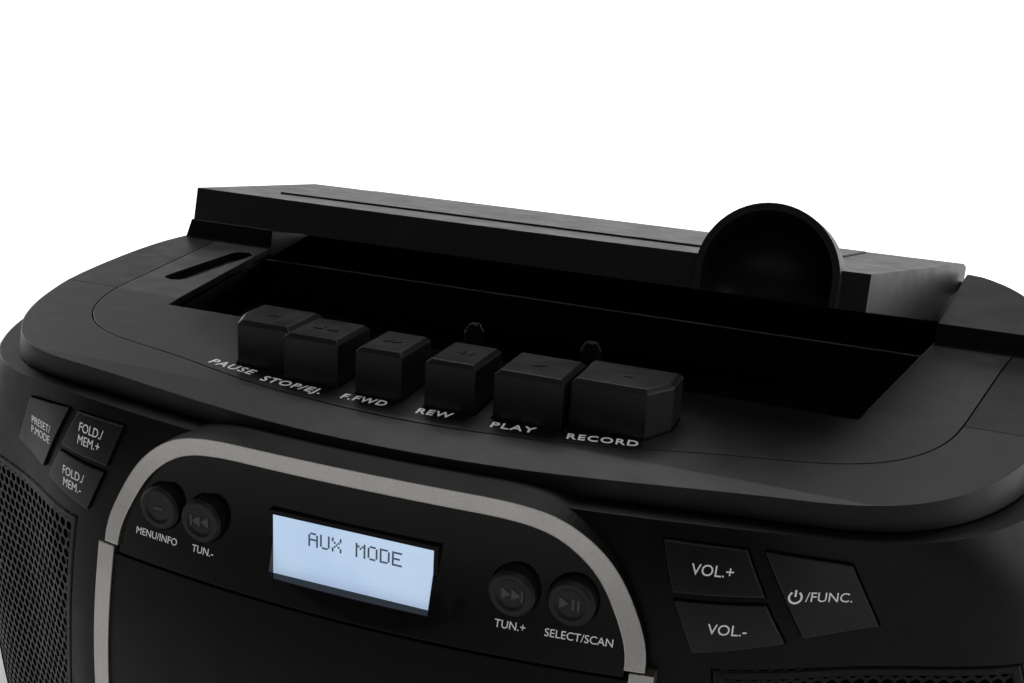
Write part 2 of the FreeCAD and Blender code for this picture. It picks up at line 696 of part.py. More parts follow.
node("top_cabinet", minus("top_cabinet_cut", top_half, [deck_opening]))
deck_opening_rear = solid("deck_opening_rear", deck_opening.Shape)
rear_tools = [deck_opening_rear, battery_hole, inlet_hole, hinge_bore] + screw_holes
node("rear_cabinet", minus("rear_cabinet_cut", rear_half, rear_tools))

# ---------------------------------------------------------------- socket panel on the deck

PANEL_TOP = 188.0
PANEL_THICK = 3.0
USB_Y = 34.0
JACK_Y = 8.0
panel_oval = oval(OVAL_CENTRE, OVAL_LONG + 3.0, OVAL_WIDE + 3.0, PANEL_TOP - PANEL_THICK, PANEL_TOP)
socket_base = solid("socket_base", panel_oval)
usb_slot = span("usb_slot", (OVAL_CENTRE.x - 2.6, USB_Y - 6.4, 170), (OVAL_CENTRE.x + 2.6, USB_Y + 6.4, 200))
jack_hole = rod("jack_hole", 3.0, 30.0, (OVAL_CENTRE.x, JACK_Y, 170))
well_room = solid("well_room", prism(trapezoid(-31.0, 57.5, 2.0 + CLEARANCE), "xy", 180, 190))
socket_trimmed = minus("socket_trimmed", socket_base, [well_room])
node("socket_panel", minus("socket_panel_cut", socket_trimmed, [usb_slot, jack_hole]))
usb_outer = span("usb_outer", (OVAL_CENTRE.x - 2.6, USB_Y - 6.4, 174),
                 (OVAL_CENTRE.x + 2.6, USB_Y + 6.4, PANEL_TOP))
usb_inner = span("usb_inner", (OVAL_CENTRE.x - 2.25, USB_Y - 6.05, 175),
                 (OVAL_CENTRE.x + 2.25, USB_Y + 6.05, 200))
usb_tongue = span("usb_tongue", (OVAL_CENTRE.x - 1.6, USB_Y - 5.5, 175),
                  (OVAL_CENTRE.x - 0.2, USB_Y + 5.5, 186))
usb_socket = joined("usb_socket", [minus("usb_shell", usb_outer, [usb_inner]), usb_tongue])
aux_jack = minus("aux_jack", rod("aux_jack_barrel", 3.0, 14.0, (OVAL_CENTRE.x, JACK_Y, 174)),
                 [rod("aux_jack_bore", 1.8, 30.0, (OVAL_CENTRE.x, JACK_Y, 175))])
node("usb_and_aux_sockets", grouped("usb_and_aux_pair", [usb_socket, aux_jack]))

# ---------------------------------------------------------------- tape keys

KEY_FOOT = 180.0
for key_name in KEYS:
    node(key_name, padded(key_name + "_body", key_outline(key_name), "Sizes.key_height - %g" % KEY_FOOT,
                          (0, 0, KEY_FOOT), chamfer=1.2))

# ---------------------------------------------------------------- cassette well and mechanism

WELL_TOP = 187.6
WELL_FLOOR = 171.6
WELL_WALL = 2.0
well_outer = solid("well_outer", prism(trapezoid(-30.0, 56.5, 2.0), "xy", WELL_FLOOR - WELL_WALL, WELL_TOP))
well_inner = solid("well_inner", prism(trapezoid(-28.0, 54.5), "xy", WELL_FLOOR, 230))
well_window = span("well_window", (-58, -20, 160), (62, 50, 180))
node("cassette_well", minus("cassette_well_cut", well_outer, [well_inner, well_window]))

REEL_Y = size("reel_place")
REEL_X = size("reel_pitch") / 2
CHASSIS = size("chassis_height")
CAPSTAN_X = 40.0
CAPSTAN_Y = -8.0
MOTOR_X = -40.0
MOTOR_Y = 34.0
ARM_X = 54.2
ARM_Y = -5.2
CAPSTAN_R = 1.2
SHAFT_R = 1.5
GAP = size("shaft_gap")
chassis_tools = [
    rod("capstan_bore", CAPSTAN_R + GAP, 10.0, (CAPSTAN_X, CAPSTAN_Y, CHASSIS - 5)),
    rod("motor_bore", 4.0, 10.0, (MOTOR_X, MOTOR_Y, CHASSIS - 5)),
]
for side, way in (("supply", -1), ("takeup", 1)):
    chassis_tools.append(rod(side + "_bore", SHAFT_R + GAP, 10.0, (way * REEL_X, REEL_Y, CHASSIS - 5)))
chassis_tools.append(rod("arm_bore", SHAFT_R + GAP, 10.0, (ARM_X, ARM_Y, CHASSIS - 5)))
chassis_plate = span("chassis_plate", (-62, -26.5, WELL_FLOOR), (66, 53, CHASSIS))
node("tape_chassis", minus("tape_chassis_cut", chassis_plate, chassis_tools))

REEL = [(0, 0), (SHAFT_R, 0), (SHAFT_R, 8.6), (11, 8.6), (11, 10.2), (5, 10.2), (3.6, 11.5),
        (3.6, 18.0), (2.0, 20.5), (0, 20.5)]
for side, way in (("supply", -1), ("takeup", 1)):
    foot = (way * REEL_X, REEL_Y, CHASSIS - 8.0)
    node("reel_spindle_" + side, turned("reel_spindle_%s_body" % side, REEL, foot))

FLYWHEEL_R = 20.0
FLYWHEEL = [(0, 0), (CAPSTAN_R, 0), (CAPSTAN_R, 2), (FLYWHEEL_R, 2), (FLYWHEEL_R, 7), (6, 7), (4, 8.4),
            (CAPSTAN_R, 8.4), (CAPSTAN_R, 33), (0, 33)]
node("capstan_flywheel", turned("capstan_flywheel_body", FLYWHEEL, (CAPSTAN_X, CAPSTAN_Y, 153)))
PULLEY_R = 5.0
PULLEY = [(0, 0), (PULLEY_R, 0), (PULLEY_R, 6), (1, 6), (1, 8), (0, 8)]
node("motor_pulley", turned("motor_pulley_body", PULLEY, (MOTOR_X, MOTOR_Y, 154)))
node("tape_motor", rod("tape_motor_can", 14.0, 26.0, (MOTOR_X, MOTOR_Y, 127.4)))


def belt_loop(gap):
    """The flat outline of a belt round both wheels, a gap outside them."""
    wheels = [(CAPSTAN_X, CAPSTAN_Y, FLYWHEEL_R + gap), (MOTOR_X, MOTOR_Y, PULLEY_R + gap)]
    reach = math.hypot(MOTOR_X - CAPSTAN_X, MOTOR_Y - CAPSTAN_Y)
    heading = math.atan2(MOTOR_Y - CAPSTAN_Y, MOTOR_X - CAPSTAN_X)
    lean = math.acos((wheels[0][2] - wheels[1][2]) / reach)
    touch = []
    for a, b, radius in wheels:
        for way in (1, -1):
            turn = heading + way * lean
            touch.append(Vector(a + radius * math.cos(turn), b + radius * math.sin(turn), 0))
    far = Vector(wheels[0][0] - wheels[0][2] * math.cos(heading),
                 wheels[0][1] - wheels[0][2] * math.sin(heading), 0)
    near = Vector(wheels[1][0] + wheels[1][2] * math.cos(heading),
                  wheels[1][1] + wheels[1][2] * math.sin(heading), 0)
    edges = [Part.Arc(touch[0], far, touch[1]).toShape(), Part.makeLine(touch[1], touch[3]),
             Part.Arc(touch[3], near, touch[2]).toShape(), Part.makeLine(touch[2], touch[0])]
    return Part.Face(Part.Wire(edges))


belt_face = belt_loop(1.2).cut(belt_loop(0.4))
belt = belt_face.extrude(Vector(0, 0, 3.0))
node("drive_belt", moved(solid("drive_belt_shape", belt), (0, 0, 155.8)))

ROLLER_X = 46.7
ROLLER_Y = -15.8
ARM_LOW = CHASSIS + 0.6
arm_run = Vector(ROLLER_X - ARM_X, ROLLER_Y - ARM_Y, 0)
arm_side = Vector(-arm_run.y, arm_run.x, 0).normalize() * 2.6
arm_ends = [Vector(ARM_X, ARM_Y, 0), Vector(ROLLER_X, ROLLER_Y, 0)]
arm_corners = [arm_ends[0] + arm_side, arm_ends[1] + arm_side, arm_ends[1] - arm_side, arm_ends[0] - arm_side]
arm_plate = prism([(v.x, v.y) for v in arm_corners], "xy", ARM_LOW, ARM_LOW + 1.4)
arm_rounds = [Part.makeCylinder(2.6, 1.4, v + Vector(0, 0, ARM_LOW)) for v in arm_ends]
arm_bar = solid("arm_bar", arm_plate.multiFuse(arm_rounds))
arm_post = rod("arm_post", SHAFT_R, 8.0, (ARM_X, ARM_Y, ARM_LOW - 7))
roller_axle = rod("roller_axle", 1.0, 11.0, (ROLLER_X, ROLLER_Y, ARM_LOW))
node("pinch_arm", joined("pinch_arm_all", [arm_bar, arm_post, roller_axle]))
tyre = rod("pinch_roller_tyre", 5.0, 7.0, (ROLLER_X, ROLLER_Y, ARM_LOW + 1.8))
tyre_bore = rod("pinch_roller_bore", 1.0 + GAP, 20.0, (ROLLER_X, ROLLER_Y, ARM_LOW))
node("pinch_roller", minus("pinch_roller_cut", tyre, [tyre_bore]))
carriage = span("carriage_plate", (-30, -26, CHASSIS + 0.4), (30, -15, CHASSIS + 1.6))
node("head_carriage", carriage)
heads = [span("play_head", (-6.2, -22, CHASSIS + 1.6), (6.2, -14, CHASSIS + 11.6)),
         span("erase_head", (-26, -21, CHASSIS + 1.6), (-19, -15, CHASSIS + 10.6))]
node("tape_heads", grouped("tape_heads_pair", heads))

# ---------------------------------------------------------------- compact disc mechanism, boards

cd_plate = span("cd_plate", (-68, -97.0, 16), (68, -94.6, 143))
cd_plate_hole = rod("cd_plate_hole", 5.0, 20.0, (0, -105, DISC_Z), "y")
sled_slot = span("sled_slot", (14, -105, DISC_Z - 8), (60, -90, DISC_Z + 8))
cd_limit = solid("cd_limit", lower_room)
cd_cut = minus("cd_chassis_cut", cd_plate, [cd_plate_hole, sled_slot])
node("cd_chassis", common("cd_chassis_trimmed", cd_cut, cd_limit))
HUB = [(0, 0), (2, 0), (2, 6.6), (14, 6.6), (14, 8.6), (7.4, 8.6), (7.4, 15.2), (6.4, 16.4), (0, 16.4)]
node("cd_hub", turned("cd_hub_body", HUB, (0, -92, DISC_Z), Rotation(Vector(1, 0, 0), 90)))
node("laser_sled", span("laser_sled_block", (18, -103.5, DISC_Z - 7.6), (34, -90, DISC_Z + 7.6)))
boards = [span("front_board", (-70, -95.5, 149), (70, -93.9, 176)),
          span("main_board", (-70, -60, 30), (70, 45, 31.6))]
node("circuit_boards", grouped("circuit_boards_pair", boards))
node("transformer", span("transformer_block", (86, 30, 7.4), (136, 80, 52)))

# ---------------------------------------------------------------- cassette lid with its hood

LID_GAP = 1.6
LID_REAR = 111.0
LID_BOTTOM = 187.9
LID_LINE = [(-40, LID_BOTTOM), (-40, 196.4), (106, 210.0), (111.5, 209.0), (114, 204.0),
            (114, 197.5), (100, 197.5), (94, LID_BOTTOM)]
BOW = [(-109.5, -17.0), (-60, -22.4), (0, -24.6), (60, -22.4), (109.5, -17.0)]
LID_WALL = size("lid_wall")


def lid_solid(inset):
    """The closed lid, pushed inward by an inset and open below when it is inset."""
    front = Part.BSplineCurve()
    front.interpolate([Vector(a * (109.5 - inset) / 109.5, b + inset, 150) for a, b in BOW])
    rear_half = RECESS_HALF_REAR - LID_GAP - 0.3 - inset
    left_front = Vector(-(109.5 - inset), -17.0 + inset, 150)
    right_front = Vector(109.5 - inset, -17.0 + inset, 150)
    right_rear = Vector(rear_half, LID_REAR - inset, 150)
    left_rear = Vector(-rear_half, LID_REAR - inset, 150)
    edges = [front.toShape(), Part.makeLine(right_front, right_rear),
             Part.makeLine(right_rear, left_rear), Part.makeLine(left_rear, left_front)]
    column = Part.Face(Part.Wire(edges)).extrude(Vector(0, 0, 100))
    line = [(a, b - inset) for a, b in LID_LINE]
    if inset:
        line = [(-40, 150), line[1], line[2], (LID_REAR, 207.0 - inset), (LID_REAR, 150)]
    return column.common(prism(line, "yz", -150, 150))


HOOD = Vector(size("hood_place"), -6.0, 194.5)
HOOD_FRONT = -24.8


def hood_solid(radius, bottom, front):
    """A scoop: a half-round tunnel with a domed end, standing on straight legs."""
    run = HOOD.y - front
    tunnel = Part.makeCylinder(radius, run, Vector(HOOD.x, front, HOOD.z), Vector(0, 1, 0))
    dome = Part.makeSphere(radius, HOOD)
    legs = Part.makeBox(2 * radius, run, HOOD.z - bottom, Vector(HOOD.x - radius, front, bottom))
    back = Part.makeCylinder(radius, HOOD.z - bottom, Vector(HOOD.x, HOOD.y, bottom))
    whole = tunnel.multiFuse([dome, legs, back])
    keep = Part.makeBox(300, 300, 100, Vector(-150, -150, bottom))
    return whole.common(keep)


hood_r = size("hood_radius")
lid_outer = lid_solid(0.0).fuse(hood_solid(hood_r, LID_BOTTOM, HOOD_FRONT))
lid_inner = lid_solid(LID_WALL).cut(hood_solid(hood_r, 150, -60))
lid_shape = lid_outer.cut(lid_inner).cut(hood_solid(hood_r - 2.0, 150, -60))
PIN_INNER = 126.0
PIN_OUTER = 135.4
for start in (-PIN_OUTER, PIN_INNER):
    pin_foot = Vector(start, HINGE.y, HINGE.z)
    pin = Part.makeCylinder(size("hinge_radius"), PIN_OUTER - PIN_INNER, pin_foot, Vector(1, 0, 0))
    lid_shape = lid_shape.fuse(pin)
lid_open = Placement(Vector(0, 0, 0), Rotation(Vector(1, 0, 0), -size("lid_open")), HINGE)
lid = solid("cassette_lid_shape", lid_shape)
lid.Placement = lid_open
node("cassette_lid", lid)

# ---------------------------------------------------------------- handle

PIVOT = Vector(0, size("handle_place"), size("handle_height"))
ARM_IN = 177.6
PIVOT_INNER = 158.0
ARM_THICK = 5.0
BOSS_R = 8.0
PIN_R = 4.0
reach = size("handle_reach")
fold = Placement(Vector(0, 0, 0), Rotation(Vector(1, 0, 0), -90 - size("handle_fold")), PIVOT)
handle_parts = []
pivot_parts = []
RIM = 0.4
HEAD = 0.6
along = Vector(1, 0, 0)
for side in (-1, 1):
    low = ARM_IN if side > 0 else -ARM_IN - ARM_THICK
    eye_foot = Vector(low, PIVOT.y, PIVOT.z)
    arm = Part.makeBox(ARM_THICK, 14, reach, Vector(low, PIVOT.y - 7, PIVOT.z))
    eye = Part.makeCylinder(7, ARM_THICK, eye_foot, along)
    end = Part.makeCylinder(7, ARM_THICK, eye_foot + Vector(0, 0, reach), along)
    bore = Part.makeCylinder(PIN_R + GAP, ARM_THICK, eye_foot, along)
    handle_parts.append(arm.multiFuse([eye, end]).cut(bore))
    root = Vector(side * PIVOT_INNER, PIVOT.y, PIVOT.z)
    boss = Part.makeCylinder(BOSS_R, ARM_IN - RIM - PIVOT_INNER, root, along * side)
    pin = Part.makeCylinder(PIN_R, ARM_IN + ARM_THICK + HEAD - PIVOT_INNER, root, along * side)
    pivot_parts.append(boss.fuse(pin).cut(lower_outside))
bar_foot = Vector(-ARM_IN, PIVOT.y, PIVOT.z + reach)
bar = Part.makeCylinder(size("handle_bar"), 2 * ARM_IN, bar_foot, along)
handle_shape = handle_parts[0].multiFuse([handle_parts[1], bar])
handle = solid("handle_shape", handle_shape)
handle.Placement = fold
node("handle", handle)
node("handle_pivots", solid("handle_pivots_shape", Part.makeCompound(pivot_parts)))

# ---------------------------------------------------------------- telescopic antenna

ANT = Vector(122.0, 125.0, size("antenna_height"))
ANT_R = size("antenna_radius")
ROD_R = 2.2
fork_back = Part.makeBox(14, 20, 14, Vector(ANT.x - 7, 112, ANT.z - 7)).cut(lower_outside)
fork_pin = Part.makeCylinder(1.5, 12.0, Vector(ANT.x, 117, ANT.z), Vector(0, 1, 0)).cut(lower_outside)
fork_room = Part.makeBox(20, 8.6, 20, Vector(ANT.x - 10, ANT.y - 4.3, ANT.z - 10))
node("antenna_fork", solid("antenna_fork_shape", fork_back.cut(fork_room).fuse(fork_pin)))
knuckle = Part.makeCylinder(5.0, 8.0, Vector(ANT.x, ANT.y - 4.0, ANT.z), Vector(0, 1, 0))
pin_bore = Part.makeCylinder(1.5 + GAP, 12.0, Vector(ANT.x, ANT.y - 6.0, ANT.z), Vector(0, 1, 0))
outer_long = size("antenna_length")
tube = Part.makeCylinder(ANT_R, outer_long, Vector(ANT.x - 3.0, ANT.y, ANT.z), Vector(-1, 0, 0))
tube_bore = Part.makeCylinder(ROD_R + GAP, outer_long, Vector(ANT.x - 12.0, ANT.y, ANT.z), Vector(-1, 0, 0))
node("antenna_tube", solid("antenna_tube_shape", knuckle.fuse(tube).cut(tube_bore).cut(pin_bore)))
tip_start = Vector(ANT.x - 13.0, ANT.y, ANT.z)
tip = Part.makeCylinder(ROD_R, outer_long - 10.0, tip_start, Vector(-1, 0, 0))
cap = Part.makeCylinder(3.0, 5.0, tip_start - Vector(outer_long - 10.0, 0, 0), Vector(-1, 0, 0))
node("antenna_rod", solid("antenna_rod_shape", tip.fuse(cap)))

# ---------------------------------------------------------------- checks and export

centre = Placement(Vector(0, size("centre_shift"), 0), Rotation())
doc.recompute()
for item in NODES.values():
    item.Placement = centre * item.Placement
doc.recompute()
faults = []
for item in doc.Objects:
    if "Invalid" in item.State or "Error" in item.State:
        faults.append("%s is in state %s" % (item.Name, item.State))
for label, item in NODES.items():
    if item.Shape.isNull() or not item.Shape.isValid() or item.Shape.Volume <= 0.0:
        faults.append("%s has no sound shape" % label)
if faults:
    raise RuntimeError("; ".join(faults))
os.makedirs("parts", exist_ok=True)
for label, item in NODES.items():
    item.Shape.exportStep("parts/%s.step" % label)
    box = item.Shape.BoundBox
    print("%-22s %9.0f mm3  solids %d  z %.1f to %.1f" % (
        label, item.Shape.Volume, len(item.Shape.Solids), box.ZMin, box.ZMax))
print(len(NODES), "nodes")
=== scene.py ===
"""The looks of the cassette player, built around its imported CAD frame.

Everything is in metres in the frame's own axes: X to the right, Y to the back, Z up.
Places come from the boxes of the CAD nodes; MM turns the few sizes given in millimetres into metres.
"""

import math

import bmesh
import bpy
from mathutils import Matrix, Vector
from mathutils.bvhtree import BVHTree


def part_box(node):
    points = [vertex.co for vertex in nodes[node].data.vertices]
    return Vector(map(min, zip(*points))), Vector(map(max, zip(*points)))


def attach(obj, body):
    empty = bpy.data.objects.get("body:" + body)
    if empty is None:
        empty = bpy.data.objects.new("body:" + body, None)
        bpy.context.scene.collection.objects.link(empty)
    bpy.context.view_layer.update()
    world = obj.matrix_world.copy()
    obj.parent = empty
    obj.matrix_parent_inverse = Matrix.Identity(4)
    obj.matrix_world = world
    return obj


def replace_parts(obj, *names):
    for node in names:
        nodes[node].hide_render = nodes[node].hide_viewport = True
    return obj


MM = 0.001
RIGHT, BACK, UP = Vector((1, 0, 0)), Vector((0, 1, 0)), Vector((0, 0, 1))

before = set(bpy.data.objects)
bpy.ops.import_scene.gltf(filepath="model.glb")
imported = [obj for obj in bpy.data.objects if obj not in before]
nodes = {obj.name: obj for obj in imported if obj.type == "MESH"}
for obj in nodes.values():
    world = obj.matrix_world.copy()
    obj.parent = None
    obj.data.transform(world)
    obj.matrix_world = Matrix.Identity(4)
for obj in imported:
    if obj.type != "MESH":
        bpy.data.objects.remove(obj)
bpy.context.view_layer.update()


# ---------------------------------------------------------------- materials


class Finish:
    """A Principled material whose colour, roughness and bump come from the piece's own coordinates."""

    def __init__(self, name, colour, roughness, metallic=0.0, specular=0.5):
        self.material = bpy.data.materials.new(name)
        self.material.use_nodes = True
        self.tree = self.material.node_tree
        self.shader = self.tree.nodes["Principled BSDF"]
        self.place = self.add("ShaderNodeTexCoord").outputs["Object"]
        self.colour = self.constant_colour(colour)
        self.roughness = roughness
        self.roughness_link = None
        self.normal = None
        self.shader.inputs["Metallic"].default_value = metallic
        self.shader.inputs["Specular IOR Level"].default_value = specular

    def add(self, kind, **settings):
        made = self.tree.nodes.new(kind)
        for key, value in settings.items():
            setattr(made, key, value)
        return made

    def link(self, source, target):
        self.tree.links.new(source, target)

    def constant_colour(self, colour):
        made = self.add("ShaderNodeRGB")
        made.outputs[0].default_value = (*colour, 1)
        return made.outputs[0]

    def noise(self, size, detail=3.0, roughness=0.5, stretch=None):
        """Noise whose features are about size metres across; stretch scales the three axes first."""
        made = self.add("ShaderNodeTexNoise")
        made.inputs["Scale"].default_value = 1 / size
        made.inputs["Detail"].default_value = detail
        made.inputs["Roughness"].default_value = roughness
        self.link(self.stretched(stretch) if stretch else self.place, made.inputs["Vector"])
        return made.outputs["Fac"]

    def stretched(self, stretch):
        made = self.add("ShaderNodeMapping")
        made.inputs["Scale"].default_value = stretch
        self.link(self.place, made.inputs["Vector"])
        return made.outputs["Vector"]

    def between(self, value, low, high, start=0.0, end=1.0):
        """value, as it goes from start to end, taken to low and high."""
        made = self.add("ShaderNodeMapRange")
        for key, number in (("From Min", start), ("From Max", end), ("To Min", low), ("To Max", high)):
            made.inputs[key].default_value = number
        self.link(value, made.inputs["Value"])
        return made.outputs["Result"]

    def tint(self, colour, share):
        """Mixes another colour in, by a share that varies over the surface."""
        made = self.add("ShaderNodeMix", data_type="RGBA")
        self.link(share, made.inputs["Factor"])
        self.link(self.colour, made.inputs["A"])
        made.inputs["B"].default_value = (*colour, 1)
        self.colour = made.outputs["Result"]
        return self

    def mottled(self, size, spread):
        """Roughness that drifts by spread either way over patches of this size."""
        self.roughness_link = self.between(
            self.noise(size, 4), self.roughness - spread, self.roughness + spread, 0.3, 0.7
        )
        return self

    def bump(self, height, depth, strength=1.0):
        made = self.add("ShaderNodeBump")
        made.inputs["Distance"].default_value = depth
        made.inputs["Strength"].default_value = strength
        self.link(height, made.inputs["Height"])
        if self.normal:
            self.link(self.normal, made.inputs["Normal"])
        self.normal = made.outputs["Normal"]
        return self

    def eased(self, radius, edge_wear_and_highlight=None, amount=0.5):
        """Softens every edge to this radius, and lightens the edge: partly edge wear, partly a painted
        highlight.
        """
        made = self.add("ShaderNodeBevel", samples=4)
        made.inputs["Radius"].default_value = radius
        self.normal = made.outputs["Normal"]
        if edge_wear_and_highlight:
            facing = self.add("ShaderNodeVectorMath", operation="DOT_PRODUCT")
            self.link(made.outputs["Normal"], facing.inputs[0])
            self.link(self.add("ShaderNodeNewGeometry").outputs["Normal"], facing.inputs[1])
            # The lighter edge colour is partly edge wear and partly a painted highlight.
            self.tint(edge_wear_and_highlight, self.between(facing.outputs["Value"], amount, 0.0, 0.9, 0.995))
        return self

    def dusty(self, spacing, size, colour, amount):
        """Small pale specks, one in some of the cells that are spacing across."""
        made = self.add("ShaderNodeTexVoronoi")
        made.inputs["Scale"].default_value = 1 / spacing
        self.link(self.place, made.inputs["Vector"])
        speck = self.between(made.outputs["Distance"], 1.0, 0.0, 0.0, size / spacing)
        some = self.between(self.noise(spacing * 4, 1), 0.0, 1.0, 0.5, 0.62)
        both = self.add("ShaderNodeMath", operation="MULTIPLY")
        self.link(speck, both.inputs[0])
        self.link(some, both.inputs[1])
        return self.tint(colour, self.between(both.outputs[0], 0.0, amount))

    def done(self):
        self.link(self.colour, self.shader.inputs["Base Color"])
        if self.roughness_link:
            self.link(self.roughness_link, self.shader.inputs["Roughness"])
        else:
            self.shader.inputs["Roughness"].default_value = self.roughness
        if self.normal:
            self.link(self.normal, self.shader.inputs["Normal"])
        return self.material


def moulded(name, colour, roughness, grain, depth, specular=0.5, edge=0.35 * MM, edge_wear_and_highlight=None, dust=0.0):
    """Moulded plastic with a spark-eroded grain."""
    made = Finish(name, colour, roughness, specular=specular)
    # Lighter edges: partly edge wear, partly a painted highlight.
    made.eased(edge, edge_wear_and_highlight or tuple(c * 3 + 0.01 for c in colour), 0.6)
    made.tint(tuple(c * 1.8 for c in colour), made.between(made.noise(22 * MM, 5), 0.0, 0.5, 0.35, 0.7))
    made.mottled(9 * MM, 0.05)
    made.bump(made.noise(grain, 2, 0.6), depth)
    if dust:
        made.dusty(2.6 * MM, 0.16 * MM, (0.35, 0.34, 0.32), dust)
    return made.done()


def metal(name, colour, roughness, brushed=None, depth=2e-6):
    """Bare or plated metal, brushed where its marks are stretched along one axis."""
    made = Finish(name, colour, roughness, metallic=1.0)
    # Lighter edges: partly edge wear, partly a painted highlight.
    made.eased(0.2 * MM, tuple(min(1, c * 1.25) for c in colour), 0.5)
    made.mottled(4 * MM, min(roughness * 0.4, 0.1))
    made.tint(tuple(c * 0.8 for c in colour), made.between(made.noise(6 * MM, 4), 0.0, 0.6, 0.4, 0.75))
    made.bump(made.noise(0.25 * MM, 3, 0.6, brushed), depth)
    return made.done()


def painted_silver():
    """Champagne paint over plastic: a metallic flake under a satin coat."""
    made = Finish("champagne_paint", (0.60, 0.575, 0.54), 0.34, metallic=0.9)
    # Bright edge: partly wear, partly a painted highlight.
    made.eased(0.5 * MM, (0.9, 0.86, 0.8), 0.8)
    flake = made.add("ShaderNodeTexVoronoi")
    flake.inputs["Scale"].default_value = 1 / (0.22 * MM)
    made.link(made.place, flake.inputs["Vector"])
    made.tint((0.86, 0.83, 0.79), made.between(flake.outputs["Color"], 0.0, 0.5, 0.35, 0.95))
    made.mottled(7 * MM, 0.05)
    made.bump(made.noise(0.3 * MM, 2), 4e-6)
    return made.done()


def piano_black():
    """The clear lens, printed black behind: glossy, with faint hairlines and a little dust."""
    made = Finish("lens_black", (0.004, 0.004, 0.005), 0.06, specular=0.2)
    # Lighter edges: partly wear, partly a painted highlight.
    made.eased(0.4 * MM, (0.05, 0.05, 0.055), 0.7)
    made.mottled(14 * MM, 0.025)
    made.bump(made.noise(0.8 * MM, 4, 0.7, (1, 1, 0.06)), 1.2e-6)
    made.dusty(3.4 * MM, 0.12 * MM, (0.3, 0.3, 0.3), 0.5)
    made.shader.inputs["Coat Weight"].default_value = 0.1
    made.shader.inputs["Coat Roughness"].default_value = 0.03
    return made.done()


def backlit():
    """The display's glass, lit from behind, with clouds of blue and the faint grid of the cells."""
    made = Finish("display_backlight", (0.5, 0.6, 0.7), 0.25)
    cells = made.add("ShaderNodeTexBrick", offset=0.0)
    cells.inputs["Scale"].default_value = 1.0
    cells.inputs["Brick Width"].default_value = 0.62 * MM
    cells.inputs["Row Height"].default_value = 0.62 * MM
    cells.inputs["Mortar Size"].default_value = 0.03 * MM
    cells.inputs["Color1"].default_value = (0.56, 0.72, 0.95, 1)
    cells.inputs["Color2"].default_value = (0.58, 0.74, 0.96, 1)
    cells.inputs["Mortar"].default_value = (0.62, 0.78, 0.98, 1)
    turned = made.add("ShaderNodeMapping")
    turned.inputs["Rotation"].default_value = (math.pi / 2, 0, 0)
    made.link(made.place, turned.inputs["Vector"])
    made.link(turned.outputs["Vector"], cells.inputs["Vector"])
    made.colour = cells.outputs["Color"]
    cloud = made.noise(18 * MM, 2)
    made.tint((0.45, 0.62, 0.9), made.between(cloud, 0.0, 0.5, 0.4, 0.7))
    made.link(made.colour, made.shader.inputs["Emission Color"])
    made.shader.inputs["Emission Strength"].default_value = 0.62
    made.mottled(5 * MM, 0.04)
    return made.done()


def board_green():
    """A circuit board: solder mask over copper tracks."""
    made = Finish("board_green", (0.01, 0.07, 0.03), 0.35)
    tracks = made.add("ShaderNodeTexVoronoi", distance="MANHATTAN", feature="F2")
    tracks.inputs["Scale"].default_value = 1 / (5 * MM)
    made.link(made.place, tracks.inputs["Vector"])
    line = made.between(tracks.outputs["Distance"], 0.0, 1.0, 0.58, 0.62)
    made.tint((0.03, 0.16, 0.06), line)
    made.mottled(3 * MM, 0.08)
    made.bump(line, 0.03 * MM, 0.6)
    return made.done()


def paper_cone():
    """Pressed paper pulp for the speaker cones."""
    made = Finish("cone_paper", (0.02, 0.019, 0.018), 0.9)
    made.tint((0.06, 0.055, 0.05), made.between(made.noise(1.2 * MM, 5), 0.0, 0.8, 0.45, 0.8))
    made.mottled(3 * MM, 0.06)
    made.bump(made.noise(0.6 * MM, 5, 0.7), 0.05 * MM)
    return made.done()


def ink(name, colour, painted_glow=0.0):
    """Screen-printed ink, with the small pinholes and thin spots of a print on textured plastic, and a
    painted glow where one is given.
    """
    made = Finish(name, colour, 0.5)
    made.tint(tuple(c * 0.75 for c in colour), made.between(made.noise(0.35 * MM, 3), 0.0, 1.0, 0.52, 0.75))
    made.mottled(1 * MM, 0.06)
    made.bump(made.noise(0.15 * MM, 2), 3e-6)
    # Painted light: the print emits light so that it looks brighter than the lamps make it.
    if painted_glow:
        made.link(made.colour, made.shader.inputs["Emission Color"])
        made.shader.inputs["Emission Strength"].default_value = painted_glow
    return made.done()


# Every moulded plastic below gets lighter edges: partly edge wear, partly a painted highlight.
CASE = moulded("case_plastic", (0.004, 0.004, 0.0042), 0.42, 0.42 * MM, 0.012 * MM, 0.2, dust=0.15)
TOP = moulded("top_plastic", (0.008, 0.008, 0.0083), 0.42, 0.36 * MM, 0.010 * MM, 0.36, dust=0.3)
KEY = moulded("key_plastic", (0.010, 0.010, 0.0104), 0.34, 0.30 * MM, 0.008 * MM, 0.4, 0.6 * MM, dust=0.15)
RUBBERY = moulded("button_rubber", (0.013, 0.013, 0.0135), 0.5, 0.25 * MM, 0.008 * MM, 0.4, 0.4 * MM)
INNER = moulded("inner_plastic", (0.006, 0.006, 0.0063), 0.6, 0.8 * MM, 0.012 * MM, 0.2)
